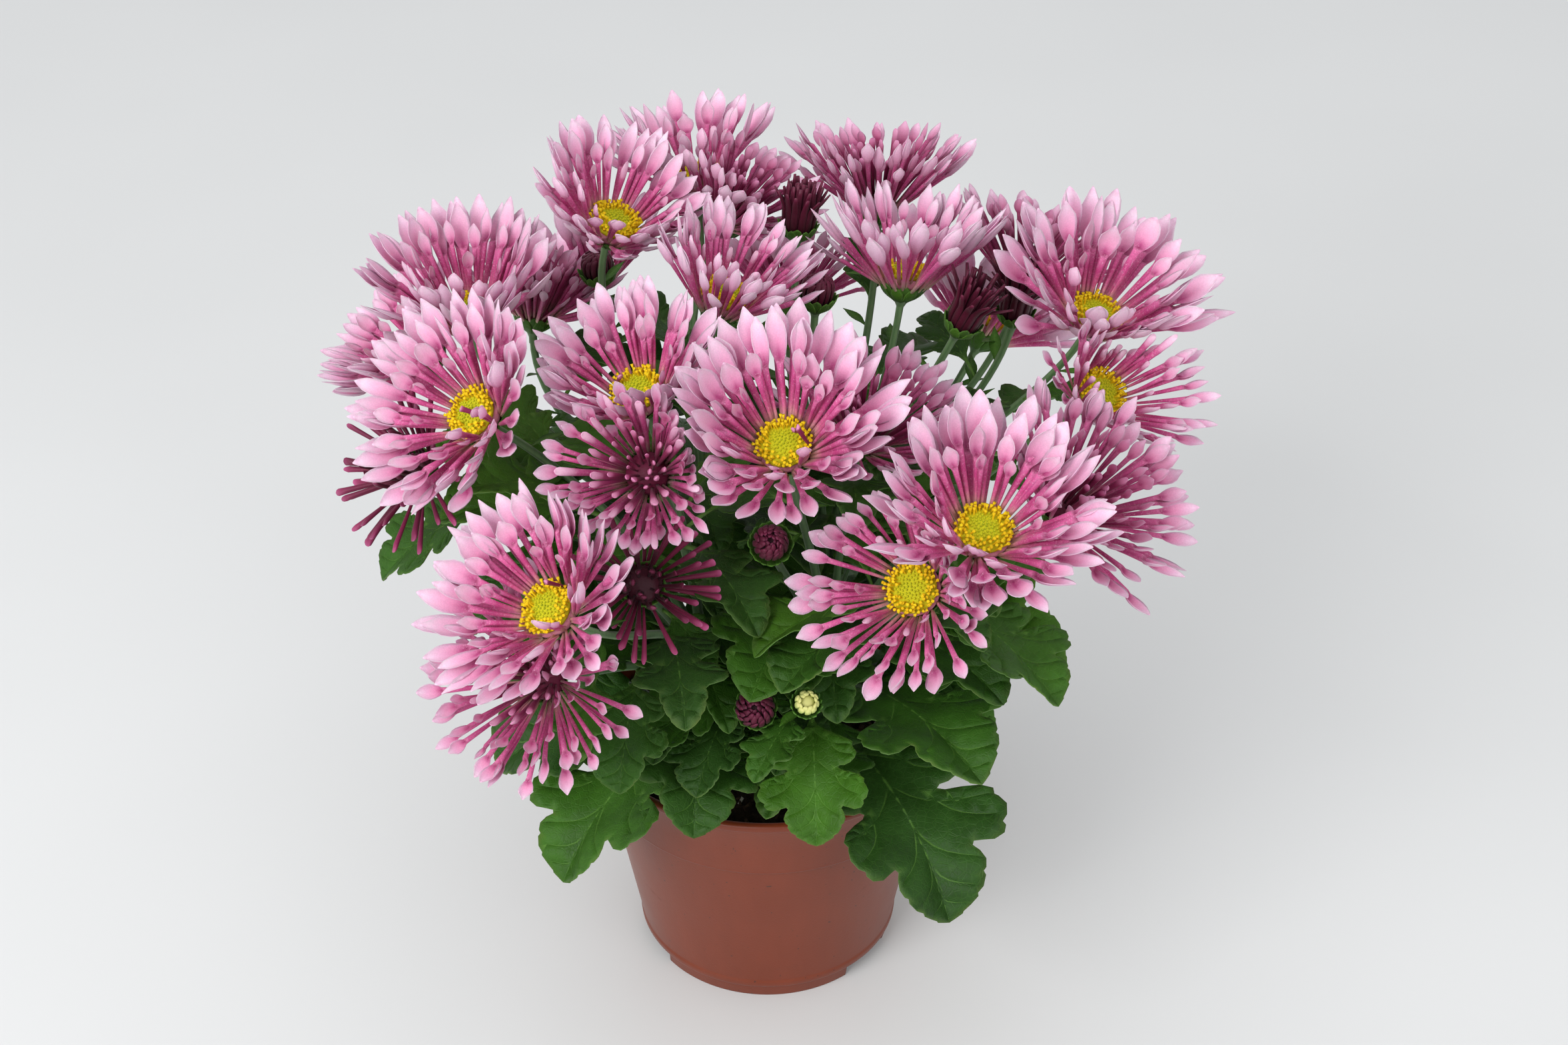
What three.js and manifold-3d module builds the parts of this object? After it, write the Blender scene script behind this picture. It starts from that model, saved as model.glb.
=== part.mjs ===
// Pot chrysanthemum in flower: four rooted cuttings in a plastic pot of peat, which carry quilled,
// spoon-tipped blooms, half-open flowers and buds above lobed leaves.
// Millimetres, +Z up. The origin is the middle of the pot's foot, on the surface that it stands on.

import * as THREE from 'three';
import { mergeVertices } from 'three/addons/utils/BufferGeometryUtils.js';
import Module from 'manifold-3d';

const wasm = await Module();
wasm.setup();

// ---- driving dimensions ----------------------------------------------------------------------

const POT_HEIGHT = 98;
const RIM_RADIUS = 65;        // outside of the rolled lip
const COLLAR_DEPTH = 26.5;    // the band below the lip
const COLLAR_RADIUS = 59.4;   // outside of the band at its lower edge
const COLLAR_STEP = 1.2;      // how far the band stands out from the wall
const RIDGE_RADIUS = 47.2;    // the thin ridge where the wall meets the foot
const FOOT_RADIUS = 45.4;
const FOOT_HEIGHT = 6;
const WALL = 1.7;
const FOOT_GAPS = [-36.5, 83.5, 203.5];   // middles of the three gaps in the foot ring, degrees
const FOOT_GAP_ANGLE = 29;
const DRAIN_HOLES = 6;
const DRAIN_RADIUS = 4.5;
const DRAIN_CIRCLE = 32;

const SEAT_GAP = 0.3;         // clearance between pieces that touch
const SOIL_TOP = 88;
const STEM_RADIUS = 2.8;      // a cutting's woody base
const STEM_ROOT = 60;         // height of the lower end of a cutting, down in the peat
const STEM_TOP_RADIUS = 2.2;
const SHOOT_RADIUS = 1.25;
const CALYX_RADIUS = 5.2;
const CROWN = 100;            // lowest height at which a shoot leaves its cutting
const LEAF_THICKNESS = 0.8;

const CUTTINGS = [[-21, -17], [21, -19], [-20, 20], [21, 19]];

// How each kind of flower is built. rings: radius and height of the rows of points round the core,
// from its foot up. rises: the angle of each row of petals above the plane across the core.
// lengths: each row's length as a share of the reach. width: a petal's width over the reach.
const KINDS = {
  open: {
    sides: 7,
    rings: [[7.6, -6], [8.4, -3.7], [8.6, -1]],
    rises: [34, 44, 54, 64],
    lengths: [1, 1, 0.92, 0.78],
    width: 0.2,
    disc: 7.9,
  },
  cupped: {
    sides: 7,
    rings: [[7.6, -6], [8.4, -3.7], [8.6, -1]],
    rises: [46, 54, 62, 71],
    lengths: [1, 1, 0.92, 0.78],
    width: 0.19,
    disc: 7.9,
  },
  double: {
    sides: 5,
    rings: [[5.2, -6], [7, -3.4], [6.4, -1], [3.4, 0.6]],
    rises: [27, 37, 47, 58, 69, 80],
    lengths: [1, 1, 0.93, 0.82, 0.68, 0.52],
    width: 0.19,
  },
  young: {
    sides: 6,
    rings: [[4.8, -6], [6.2, -3.4], [4.6, -1]],
    rises: [12, 28, 45, 63],
    lengths: [1, 0.96, 0.84, 0.66],
    width: 0.12,
  },
  bud: {
    closed: true,
    sides: 5,
    rings: [[4.4, -4.5], [4.8, 2]],
    rises: [64, 76],
    lengths: [1, 0.9],
    width: 0.26,
  },
  small_bud: {
    closed: true,
    sides: 5,
    rings: [[3.4, -3], [2.5, 1]],
    rises: [60, 72],
    lengths: [1, 0.9],
    width: 0.3,
  },
};

// Every flower: name, middle of its disc, lean of its axis (run in x and y for a rise of 1),
// reach of its petals, and kind.
const FLOWERS = [
  ['bloom_01', [-49, 38, 268], [0.38, -0.25], 33, 'open'],
  ['bloom_02', [-24, 85, 262], [-0.05, 0.1], 32, 'open'],
  ['bloom_03', [-12, 66, 258], [0.55, 0.1], 34, 'double'],
  ['bloom_04', [39, 92, 250], [0, 0.15], 34, 'double'],
  ['bloom_05', [46, 42, 247], [0.12, 0.3], 36, 'open'],
  ['bloom_06', [-13, 10, 256], [0.3, 0], 33, 'cupped'],
  ['bloom_07', [89, 66, 236], [0.2, 0.2], 36, 'double'],
  ['bloom_08', [107, 18, 245], [0.3, -0.28], 40, 'open'],
  ['bloom_09', [107, -5, 229], [0.6, -0.7], 35, 'cupped'],
  ['bloom_10', [-96, 18, 246], [-0.05, -0.12], 38, 'cupped'],
  ['bloom_11', [-115, 25, 227], [-0.7, -0.05], 31, 'open'],
  ['bloom_12', [-89, -37, 241], [-0.7, -0.7], 36, 'open'],
  ['bloom_13', [-79, 58, 226], [0.15, 0.25], 31, 'double'],
  ['bloom_14', [-39, -30, 245], [-0.25, -0.3], 34, 'open'],
  ['bloom_15', [6, -62, 246], [-0.1, -0.55], 39, 'open'],
  ['bloom_16', [-35, -66, 239], [-0.2, -1.1], 29, 'double'],
  ['bloom_17', [32, -16, 221], [0.2, -0.15], 34, 'double'],
  ['bloom_18', [63, -95, 238], [0.12, -0.42], 38, 'open'],
  ['bloom_19', [92, -62, 224], [0.55, -0.45], 37, 'double'],
  ['bloom_20', [44, -86, 211], [-0.6, -1.1], 33, 'open'],
  ['bloom_21', [-62, -103, 216], [-0.6, -0.57], 35, 'open'],
  ['bloom_22', [-68, -87, 178], [-0.6, -1.3], 34, 'double'],
  ['bloom_23', [-36, -74, 204], [0.3, -1.2], 24, 'young'],
  ['bloom_24', [-113, -20, 211], [-1, -0.8], 26, 'young'],
  ['bloom_25', [-66, 98, 214], [-0.5, 0.7], 36, 'open'],
  ['bloom_26', [8, 111, 202], [0.05, 0.9], 32, 'double'],
  ['bloom_27', [80, 100, 194], [0.6, 0.7], 36, 'open'],
  ['bud_1', [-57, 55, 243], [-0.1, 0], 7, 'bud'],
  ['bud_2', [11, 52, 262], [0.1, 0], 14, 'bud'],
  ['bud_3', [17, 25, 250], [0.1, 0], 7, 'bud'],
  ['bud_4', [65, 20, 243], [0.4, -0.1], 16, 'bud'],
  ['bud_5', [2, -67, 214], [0, -1], 7, 'bud'],
  ['bud_6', [-3, -73, 155], [-0.1, -1.1], 8, 'bud'],
  ['bud_7', [13, -79, 162], [0.2, -0.8], 3.5, 'small_bud'],
  ['bud_8', [84, 45, 233], [0.1, -0.1], 18, 'bud'],
].map(([name, centre, lean, reach, kind]) => ({ name, centre, lean, reach, kind }));

// Large leaves: what carries them (a cutting and the height on it, or a flower and the place along
// its shoot), heading, first pitch, length and droop.
const LARGE_LEAVES = [
  [1, 100, -62, 32, 94, 90],
  [0, 102, -128, 28, 84, 84],
  [0, 112, -92, 30, 70, 90],
  ['bud_7', 0.5, -88, 8, 54, 70],
  [1, 122, -54, 30, 86, 64],
  ['bud_6', 0.75, -166, 14, 40, 50],
  ['bud_6', 0.5, -108, 14, 42, 60],
  ['bloom_15', 0.25, -112, 30, 66, 70],
  ['bloom_20', 0.5, -128, 14, 60, 60],
  ['bloom_23', 0.5, -30, 18, 56, 50],
  ['bloom_19', 0.5, -46, 8, 62, 46],
  ['bloom_22', 0.5, -96, 10, 50, 60],
  ['bloom_24', 0.5, -150, 4, 50, 50],
  [1, 104, -16, 26, 64, 84],
  [1, 134, -14, 34, 84, 56],
  [0, 106, -166, 24, 80, 82],
  [0, 128, -144, 38, 76, 60],
  [2, 106, 170, 26, 82, 92],
  [2, 122, 146, 34, 84, 66],
  [2, 104, 118, 28, 84, 84],
  [2, 130, 88, 48, 76, 58],
  [3, 108, 70, 28, 84, 84],
  [3, 122, 42, 34, 88, 64],
  [3, 104, 14, 26, 84, 88],
  [3, 134, 104, 50, 72, 58],
  ['bloom_24', 0.75, -166, -4, 50, 50],
  ['bloom_12', 0.5, 172, 16, 60, 60],
];

// One leaf on each bloom's shoot, low on every other one.
const SHOOT_LEAVES = [
  { at: 0.25, pitch: 32, length: 64, droop: 62 },
  { at: 0.5, pitch: 32, length: 56, droop: 66 },
];
const GOLDEN_TURN = 137.5;
const LEAF_TURNS = [0, 35, -35, 70, -70];   // turns and tilts tried until a leaf has room
const LARGE_TURNS = [0, 8, -8, 16, -16];
const LEAF_TILTS = [0, 10, -10, 20];
const LARGE_ROLL = 14;
const SMALL_ROLL = 18;

// Half of a leaf's outline, foot to tip, and the inner points of its midrib. Distances along and
// away from the midrib are shares of the leaf's length.
const LARGE_LEAF = {
  edge: [
    [0, 0.011], [0.24, 0.014], [0.4, 0.25], [0.5, 0.27], [0.545, 0.15],
    [0.64, 0.32], [0.75, 0.29], [0.775, 0.165], [0.9, 0.155],
  ],
  midrib: [0.24, 0.5, 0.76],
};
const SMALL_LEAF = {
  edge: [[0, 0.012], [0.24, 0.016], [0.44, 0.25], [0.54, 0.12], [0.72, 0.27], [0.8, 0.12]],
  midrib: [0.28, 0.62],
};
const LEAF_FOLD = 0.28;       // how far the two halves rise from the midrib
const LEAF_WAVE = 0.035;      // how far the lobes wave up and down, over the length
const LEAF_WAVES = 9;         // the wave's angle over the whole leaf, in radians
const LEAF_FLAT = 8;          // nearer the midrib than this, the wave dies out
const STALK = [0.3, 1.6];     // how long a leaf's stalk is, over its length, and its thickness

// ---- small helpers ---------------------------------------------------------------------------

const rad = THREE.MathUtils.degToRad;
const vec = (x, y, z) => new THREE.Vector3(x, y, z);

function material(color, roughness) {
  return new THREE.MeshStandardMaterial({ color, roughness, metalness: 0 });
}

const PLASTIC = material(0x8a4c3a, 0.5);
const PEAT = material(0x33261c, 0.95);
const LEAF = material(0x2f6b2a, 0.6);
const PETAL = material(0xcf86ae, 0.55);
const YOUNG_PETAL = material(0x7a2350, 0.6);
const DISC = material(0xd8c422, 0.8);
const GREEN_BUD = material(0xa9b24a, 0.7);

// A closed solid from corner points and triangles.
function solidOf(points, triangles) {
  const vertProperties = new Float32Array(points.flatMap((p) => [p.x, p.y, p.z]));
  const triVerts = new Uint32Array(triangles.flat());
  return new wasm.Manifold(new wasm.Mesh({ numProp: 3, vertProperties, triVerts }));
}

// A closed solid from a three.js geometry.
function solidFrom(geometry) {
  const bare = geometry.clone();
  bare.deleteAttribute('normal');
  bare.deleteAttribute('uv');
  const merged = mergeVertices(bare, 1e-4);
  const triVerts = Uint32Array.from(merged.index.array);
  const vertProperties = Float32Array.from(merged.attributes.position.array);
  return new wasm.Manifold(new wasm.Mesh({ numProp: 3, vertProperties, triVerts }));
}

function meshOf(name, solid, look) {
  const { vertProperties, triVerts } = solid.getMesh();
  const geometry = new THREE.BufferGeometry();
  geometry.setAttribute('position', new THREE.BufferAttribute(vertProperties, 3));
  geometry.setIndex(new THREE.BufferAttribute(triVerts, 1));
  geometry.computeVertexNormals();
  const mesh = new THREE.Mesh(geometry, look);
  mesh.name = name;
  return mesh;
}

// A turned solid: a closed profile of [radius, height] points swept round the Z axis.
function turned(profile, segments) {
  const points = profile.map(([r, z]) => new THREE.Vector2(r, z));
  return solidFrom(new THREE.LatheGeometry(points, segments).rotateX(Math.PI / 2));
}

function cylinder(radius, from, to, sides, x, y) {
  const geometry = new THREE.CylinderGeometry(radius, radius, to - from, sides);
  return solidFrom(geometry.rotateX(Math.PI / 2).translate(x, y, (from + to) / 2));
}

// The part of a circular band between two radii and two heights that a given angle takes up.
function bandSector(inner, outer, from, to, middle, angle) {
  const shape = new THREE.Shape();
  shape.absarc(0, 0, outer, rad(middle - angle / 2), rad(middle + angle / 2), false);
  shape.absarc(0, 0, inner, rad(middle + angle / 2), rad(middle - angle / 2), true);
  const geometry = new THREE.ExtrudeGeometry(shape, {
    depth: to - from, bevelEnabled: false, curveSegments: 4,
  });
  return solidFrom(geometry.translate(0, 0, from));
}

// ---- pot and peat ----------------------------------------------------------------------------

const COLLAR_EDGE = POT_HEIGHT - COLLAR_DEPTH;
const FLOOR_TOP = FOOT_HEIGHT + WALL;
const INNER_FLOOR_RADIUS = RIDGE_RADIUS - WALL - 0.6;
const INNER_COLLAR_RADIUS = COLLAR_RADIUS - WALL;
const INNER_RIM_RADIUS = RIM_RADIUS - 1.2 - WALL;
const ROUND_SIDES = 32;

function potSolid() {
  const profile = [
    [0, FOOT_HEIGHT], [FOOT_RADIUS - 2.4, FOOT_HEIGHT], [FOOT_RADIUS - 2.4, 0], [FOOT_RADIUS, 0],
    [FOOT_RADIUS + 0.4, FOOT_HEIGHT], [RIDGE_RADIUS, FOOT_HEIGHT], [RIDGE_RADIUS, FLOOR_TOP],
    [COLLAR_RADIUS - COLLAR_STEP, COLLAR_EDGE], [COLLAR_RADIUS, COLLAR_EDGE + 0.6],
    [RIM_RADIUS - 1.2, POT_HEIGHT - 3.2], [RIM_RADIUS, POT_HEIGHT - 2.4],
    [RIM_RADIUS - 0.4, POT_HEIGHT], [INNER_RIM_RADIUS, POT_HEIGHT],
    [INNER_COLLAR_RADIUS, COLLAR_EDGE + 2], [INNER_FLOOR_RADIUS, FLOOR_TOP], [0, FLOOR_TOP],
  ];
  let pot = turned(profile, ROUND_SIDES);
  for (const middle of FOOT_GAPS) {
    const gap = bandSector(FOOT_RADIUS - 5, RIDGE_RADIUS + 1, -1, FOOT_HEIGHT - 0.8, middle,
      FOOT_GAP_ANGLE);
    pot = pot.subtract(gap);
  }
  for (let i = 0; i < DRAIN_HOLES; i += 1) {
    const angle = rad((360 * i) / DRAIN_HOLES);
    const [x, y] = [DRAIN_CIRCLE * Math.cos(angle), DRAIN_CIRCLE * Math.sin(angle)];
    pot = pot.subtract(cylinder(DRAIN_RADIUS, FOOT_HEIGHT - 2, FLOOR_TOP + 2, 8, x, y));
  }
  return pot;
}

const SOIL_GAP = SEAT_GAP + 0.2;
const COLLAR_GAP = SOIL_GAP + 0.3;   // the wall's facets come further in where it is wider

// An uneven surface of peat: how far it rises or sinks at a place.
function lumpAt(x, y) {
  return 1.3 * Math.sin(x * 0.31 + 1) * Math.cos(y * 0.27) + 0.8 * Math.sin((x + y) * 0.7);
}

// The peat fills the pot to below its rim, has an uneven top, and a plain hole for each cutting.
function soilSolid() {
  const base = FLOOR_TOP + SEAT_GAP;
  const profile = [
    [0, base], [INNER_FLOOR_RADIUS - SOIL_GAP, base],
    [INNER_COLLAR_RADIUS - SOIL_GAP, COLLAR_EDGE + 1.5],
    [INNER_COLLAR_RADIUS + 2.2 - COLLAR_GAP, SOIL_TOP - 3.5],
    [50, SOIL_TOP - 1], [38, SOIL_TOP], [20, SOIL_TOP + 0.6], [0, SOIL_TOP + 0.8],
  ];
  const points = profile.map(([r, z]) => new THREE.Vector2(r, z));
  const geometry = new THREE.LatheGeometry(points, 20).rotateX(Math.PI / 2);
  const position = geometry.attributes.position;
  for (let i = 0; i < position.count; i += 1) {
    const [x, y, z] = [position.getX(i), position.getY(i), position.getZ(i)];
    if (z > SOIL_TOP - 2) position.setZ(i, z + lumpAt(x, y));
  }
  let soil = solidFrom(geometry);
  for (const [x, y] of CUTTINGS) {
    const hole = cylinder(STEM_RADIUS + SEAT_GAP, STEM_ROOT - SEAT_GAP, SOIL_TOP + 9, 8, x, y);
    soil = soil.subtract(hole);
  }
  return soil;
}

// ---- flowers ---------------------------------------------------------------------------------

// The flower's own axes: w along its axis, u and v across it.
function axesOf(flower) {
  const w = vec(flower.lean[0], flower.lean[1], 1).normalize();
  const u = vec(0, 1, 0).cross(w).normalize();
  return { u, v: w.clone().cross(u), w, origin: vec(...flower.centre) };
}

function place({ u, v, w, origin }, x, y, z) {
  return origin.clone().addScaledVector(u, x).addScaledVector(v, y).addScaledVector(w, z);
}

// Each flower fills a ball round its site: a bud all of it, a bloom only as far as its neighbours'.
const SITE_SHARE = 0.42;
const BLOOM_GIRTH = 0.85;

for (const flower of FLOWERS) {
  const { closed, rings } = KINDS[flower.kind];
  flower.closed = closed;
  flower.axes = axesOf(flower);
  flower.site = place(flower.axes, 0, 0, SITE_SHARE * flower.reach);
  flower.girth = closed ? rings[0][0] + 0.7 * flower.reach : BLOOM_GIRTH * flower.reach;
}

// How far a point of one flower lies clear of another: outside the ball that a bud fills, or on
// its own side of the plane that parts two blooms.
function clearance(point, own, other) {
  if (own.closed) return Infinity;
  if (other.closed) return point.distanceTo(other.site) - other.girth;
  const far = point.distanceToSquared(other.site) - other.girth ** 2;
  const near = point.distanceToSquared(own.site) - own.girth ** 2;
  return (far - near) / (2 * own.site.distanceTo(other.site));
}

const FLOWER_GAP = 0.5;       // what petals keep from another flower's side
const SHOOT_GAP = 3.6;        // and from the middle of another flower's shoot
const FOOT_WIDTH = 0.4;       // a fully shortened petal's width, as a share of its full width
const WAIST = 0.8;            // where a petal is widest, along its length
const KEEL_HEIGHT = 1.1;
const EDGE_DROP = 0.2;

function staysClear(point, own) {
  for (const other of FLOWERS) {
    if (other !== own && clearance(point, own, other) < FLOWER_GAP) return false;
    if (other !== own && shootDistance(point, other) < SHOOT_GAP) return false;
  }
  return true;
}

// The corners of one petal, drawn out from a face of the core: its flat waist, then its tip.
function petalPoints(flower, foot, keelUp, rise, length, share) {
  const { w, origin } = flower.axes;
  const out = foot.clone().sub(origin);
  out.addScaledVector(w, -out.dot(w)).normalize();
  const along = out.clone().multiplyScalar(Math.cos(rise)).addScaledVector(w, Math.sin(rise));
  const side = w.clone().cross(out);
  const up = along.clone().cross(side);
  const shrunk = FOOT_WIDTH + (1 - FOOT_WIDTH) * share;
  const half = 0.5 * KINDS[flower.kind].width * flower.reach * shrunk;
  const turn = keelUp ? 1 : -1;
  const waist = foot.clone().addScaledVector(along, WAIST * length * share);
  const keel = waist.clone().addScaledVector(up, turn * KEEL_HEIGHT);
  const edge = waist.clone().addScaledVector(up, -turn * EDGE_DROP);
  const left = edge.clone().addScaledVector(side, -half);
  const right = edge.clone().addScaledVector(side, half);
  const tip = foot.clone().addScaledVector(along, length * share);
  return { left, right, keel, tip };
}

const SHORTEST_PETAL = 0.25;
const PETAL_STEP = 0.06;
const TEST_PLACES = [0, 0.25, 0.5, 0.75];    // from a petal's end back to its foot

// The longest petal, up to its full length, that stays clear of the other flowers and shoots.
function fittedPetal(flower, foot, keelUp, rise, length) {
  for (let share = 1; share > SHORTEST_PETAL; share -= PETAL_STEP) {
    const petal = petalPoints(flower, foot, keelUp, rise, length, share);
    const ends = [petal.left, petal.right, petal.tip];
    const tests = TEST_PLACES.flatMap((t) => ends.map((end) => end.clone().lerp(foot, t)));
    if (tests.every((point) => staysClear(point, flower))) return petal;
  }
  return null;
}

const RISE_WOBBLE = 3;        // degrees
const LENGTH_WOBBLE = 0.06;   // share of the length

// A flower is a core of a few rows of triangles, each drawn out into a petal.
function flowerSolid(flower) {
  const { sides, rings, rises, lengths } = KINDS[flower.kind];
  const points = [];
  const triangles = [];
  rings.forEach(([radius, height], row) => {
    for (let i = 0; i < sides; i += 1) {
      const angle = (2 * Math.PI * (i + row / 2)) / sides;
      points.push(place(flower.axes, radius * Math.cos(angle), radius * Math.sin(angle), height));
    }
  });
  const at = (row, i) => row * sides + (i % sides);
  const grow = (face, keelUp, step, i) => {
    const foot = vec(0, 0, 0);
    face.forEach((index) => foot.addScaledVector(points[index], 1 / 3));
    const wobble = Math.sin(5.1 * i + 2.3 * step + flower.centre[0]);
    const rise = rad(rises[step] + RISE_WOBBLE * wobble);
    const length = flower.reach * lengths[step] * (1 - LENGTH_WOBBLE * Math.abs(wobble));
    const petal = fittedPetal(flower, foot, keelUp, rise, length);
    if (petal === null) {
      triangles.push(face);
      return;
    }
    const first = points.length;
    if (keelUp) points.push(petal.left, petal.right, petal.keel, petal.tip);
    else points.push(petal.left, petal.keel, petal.right, petal.tip);
    for (let k = 0; k < 3; k += 1) {
      const [a, b] = [face[k], face[(k + 1) % 3]];
      const [c, d] = [first + k, first + ((k + 1) % 3)];
      triangles.push([a, b, d], [a, d, c], [c, d, first + 3]);
    }
  };
  for (let row = 0; row + 1 < rings.length; row += 1) {
    for (let i = 0; i < sides; i += 1) {
      grow([at(row, i), at(row, i + 1), at(row + 1, i)], true, 2 * row, i);
      grow([at(row + 1, i), at(row, i + 1), at(row + 1, i + 1)], false, 2 * row + 1, i);
    }
  }
  const top = rings.length - 1;
  for (let i = 1; i + 1 < sides; i += 1) {
    triangles.push([at(0, 0), at(0, i + 1), at(0, i)], [at(top, 0), at(top, i), at(top, i + 1)]);
  }
  return solidOf(points, triangles);
}

// The disc is a low dome of florets, which stand out as rows of small points.
function discSolid(flower) {
  const radius = KINDS[flower.kind].disc;
  const sides = 8;
  const rings = [[radius - 0.6, -0.7], [radius, 0.4], [0.74 * radius, 2], [0.4 * radius, 2.6]];
  const [floret, middle] = [0.9, 2.4];    // how far a floret stands out, and the dome's height
  const points = [];
  rings.forEach(([r, z], row) => {
    for (let i = 0; i < sides; i += 1) {
      const angle = (2 * Math.PI * (i + row / 2)) / sides;
      const bump = row > 0 && (i + row) % 2 ? floret : 0;
      points.push(place(flower.axes, r * Math.cos(angle), r * Math.sin(angle), z + bump));
    }
  });
  const triangles = [];
  const at = (row, i) => row * sides + (i % sides);
  for (let row = 0; row + 1 < rings.length; row += 1) {
    for (let i = 0; i < sides; i += 1) {
      triangles.push([at(row, i), at(row, i + 1), at(row + 1, i)]);
      triangles.push([at(row + 1, i), at(row, i + 1), at(row + 1, i + 1)]);
    }
  }
  const top = points.push(place(flower.axes, 0, 0, middle)) - 1;
  for (let i = 0; i < sides; i += 1) triangles.push([at(3, i), at(3, i + 1), top]);
  for (let i = 1; i + 1 < sides; i += 1) triangles.push([at(0, 0), at(0, i + 1), at(0, i)]);
  return solidOf(points, triangles);
}

// ---- shoots ----------------------------------------------------------------------------------

const SHOOT_STEPS = 4;

function cuttingOf(flower) {
  const [x, y] = flower.centre;
  const distance = ([cx, cy]) => (x - 2 * cx) ** 2 + (y - 2 * cy) ** 2;
  return CUTTINGS.indexOf(CUTTINGS.reduce((a, b) => (distance(a) <= distance(b) ? a : b)));
}

const BRANCH_CLIMB = 0.28;    // how far up its cutting a shoot starts, over its flower's height
const LOW_FLOWER = 150;       // a flower this high or lower starts at the crown
const START_PULL = [0.12, 0.38];   // how far a shoot runs out and climbs before it bends
const END_PULL = 0.34;        // how far it follows its flower's axis, over its span

// A shoot leaves its cutting upwards and comes up under its flower along the flower's axis.
function shootCurve(flower) {
  const [x, y] = CUTTINGS[flower.cutting];
  const end = place(flower.axes, 0, 0, KINDS[flower.kind].rings[0][1] - SEAT_GAP);
  const start = vec(x, y, CROWN + BRANCH_CLIMB * Math.max(0, flower.centre[2] - LOW_FLOWER));
  const span = start.distanceTo(end);
  const [outward, upward] = START_PULL;
  const rising = start.clone();
  rising.add(vec((end.x - x) * outward, (end.y - y) * outward, upward * span));
  const below = end.clone().addScaledVector(flower.axes.w, -END_PULL * span);
  return new THREE.CubicBezierCurve3(start, rising, below, end);
}

for (const flower of FLOWERS) {
  flower.cutting = cuttingOf(flower);
  flower.curve = shootCurve(flower);
  flower.route = flower.curve.getPoints(SHOOT_STEPS);
}

function shootDistance(point, flower) {
  let nearest = Infinity;
  const segment = new THREE.Line3();
  const foot = vec(0, 0, 0);
  for (let i = 0; i + 1 < flower.route.length; i += 1) {
    segment.set(flower.route[i], flower.route[i + 1]).closestPointToPoint(point, true, foot);
    nearest = Math.min(nearest, foot.distanceTo(point));
  }
  return nearest;
}

// A tube of five sides through a row of points, each with its own radius.
function tubeSolid(stations) {
  const sides = 5;
  const points = [];
  const triangles = [];
  stations.forEach(({ point, radius }, row) => {
    const before = stations[Math.max(row - 1, 0)].point;
    const after = stations[Math.min(row + 1, stations.length - 1)].point;
    const along = after.clone().sub(before).normalize();
    const u = vec(1, 0, 0).cross(along).normalize();
    const v = along.clone().cross(u);
    for (let i = 0; i < sides; i += 1) {
      const angle = (2 * Math.PI * i) / sides;
      points.push(point.clone().addScaledVector(u, radius * Math.cos(angle))
        .addScaledVector(v, radius * Math.sin(angle)));
    }
  });
  const at = (row, i) => row * sides + (i % sides);
  const last = stations.length - 1;
  for (let row = 0; row < last; row += 1) {
    for (let i = 0; i < sides; i += 1) {
      triangles.push([at(row, i), at(row, i + 1), at(row + 1, i + 1)]);
      triangles.push([at(row, i), at(row + 1, i + 1), at(row + 1, i)]);
    }
  }
  for (let i = 1; i + 1 < sides; i += 1) {
    triangles.push([at(0, 0), at(0, i + 1), at(0, i)], [at(last, 0), at(last, i), at(last, i + 1)]);
  }
  return solidOf(points, triangles);
}

const SHOOT_FOOT_RADIUS = 2;
const CUP_HEIGHT = 4.5;
const CUP_SHOULDER = [2.6, 0.85];   // depth below the flower, and share of the cup's radius

// A shoot thins towards its flower and spreads there into the green cup below the petals.
function shootSolid(flower) {
  const cup = KINDS[flower.kind].rings[0][0];
  const stations = flower.route.map((point, i) => ({
    point, radius: i === 0 ? SHOOT_FOOT_RADIUS : SHOOT_RADIUS,
  }));
  const end = stations.pop().point;
  const { w } = flower.axes;
  const [depth, share] = CUP_SHOULDER;
  stations.push({ point: end.clone().addScaledVector(w, -CUP_HEIGHT), radius: SHOOT_RADIUS });
  stations.push({ point: end.clone().addScaledVector(w, -depth), radius: share * cup });
  stations.push({ point: end, radius: Math.min(cup, CALYX_RADIUS) });
  return tubeSolid(stations);
}

function cuttingSolid([x, y], index) {
  const own = FLOWERS.filter((flower) => flower.cutting === index);
  const top = Math.max(...own.map((flower) => flower.curve.v0.z)) + 3;
  const stations = [
    { point: vec(x, y, STEM_ROOT), radius: STEM_RADIUS },
    { point: vec(x, y, CROWN - 4), radius: STEM_RADIUS },
    { point: vec(x, y, top), radius: STEM_TOP_RADIUS },
  ];
  return own.reduce((plant, flower) => plant.add(shootSolid(flower)), tubeSolid(stations));
}

// ---- leaves ----------------------------------------------------------------------------------

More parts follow.
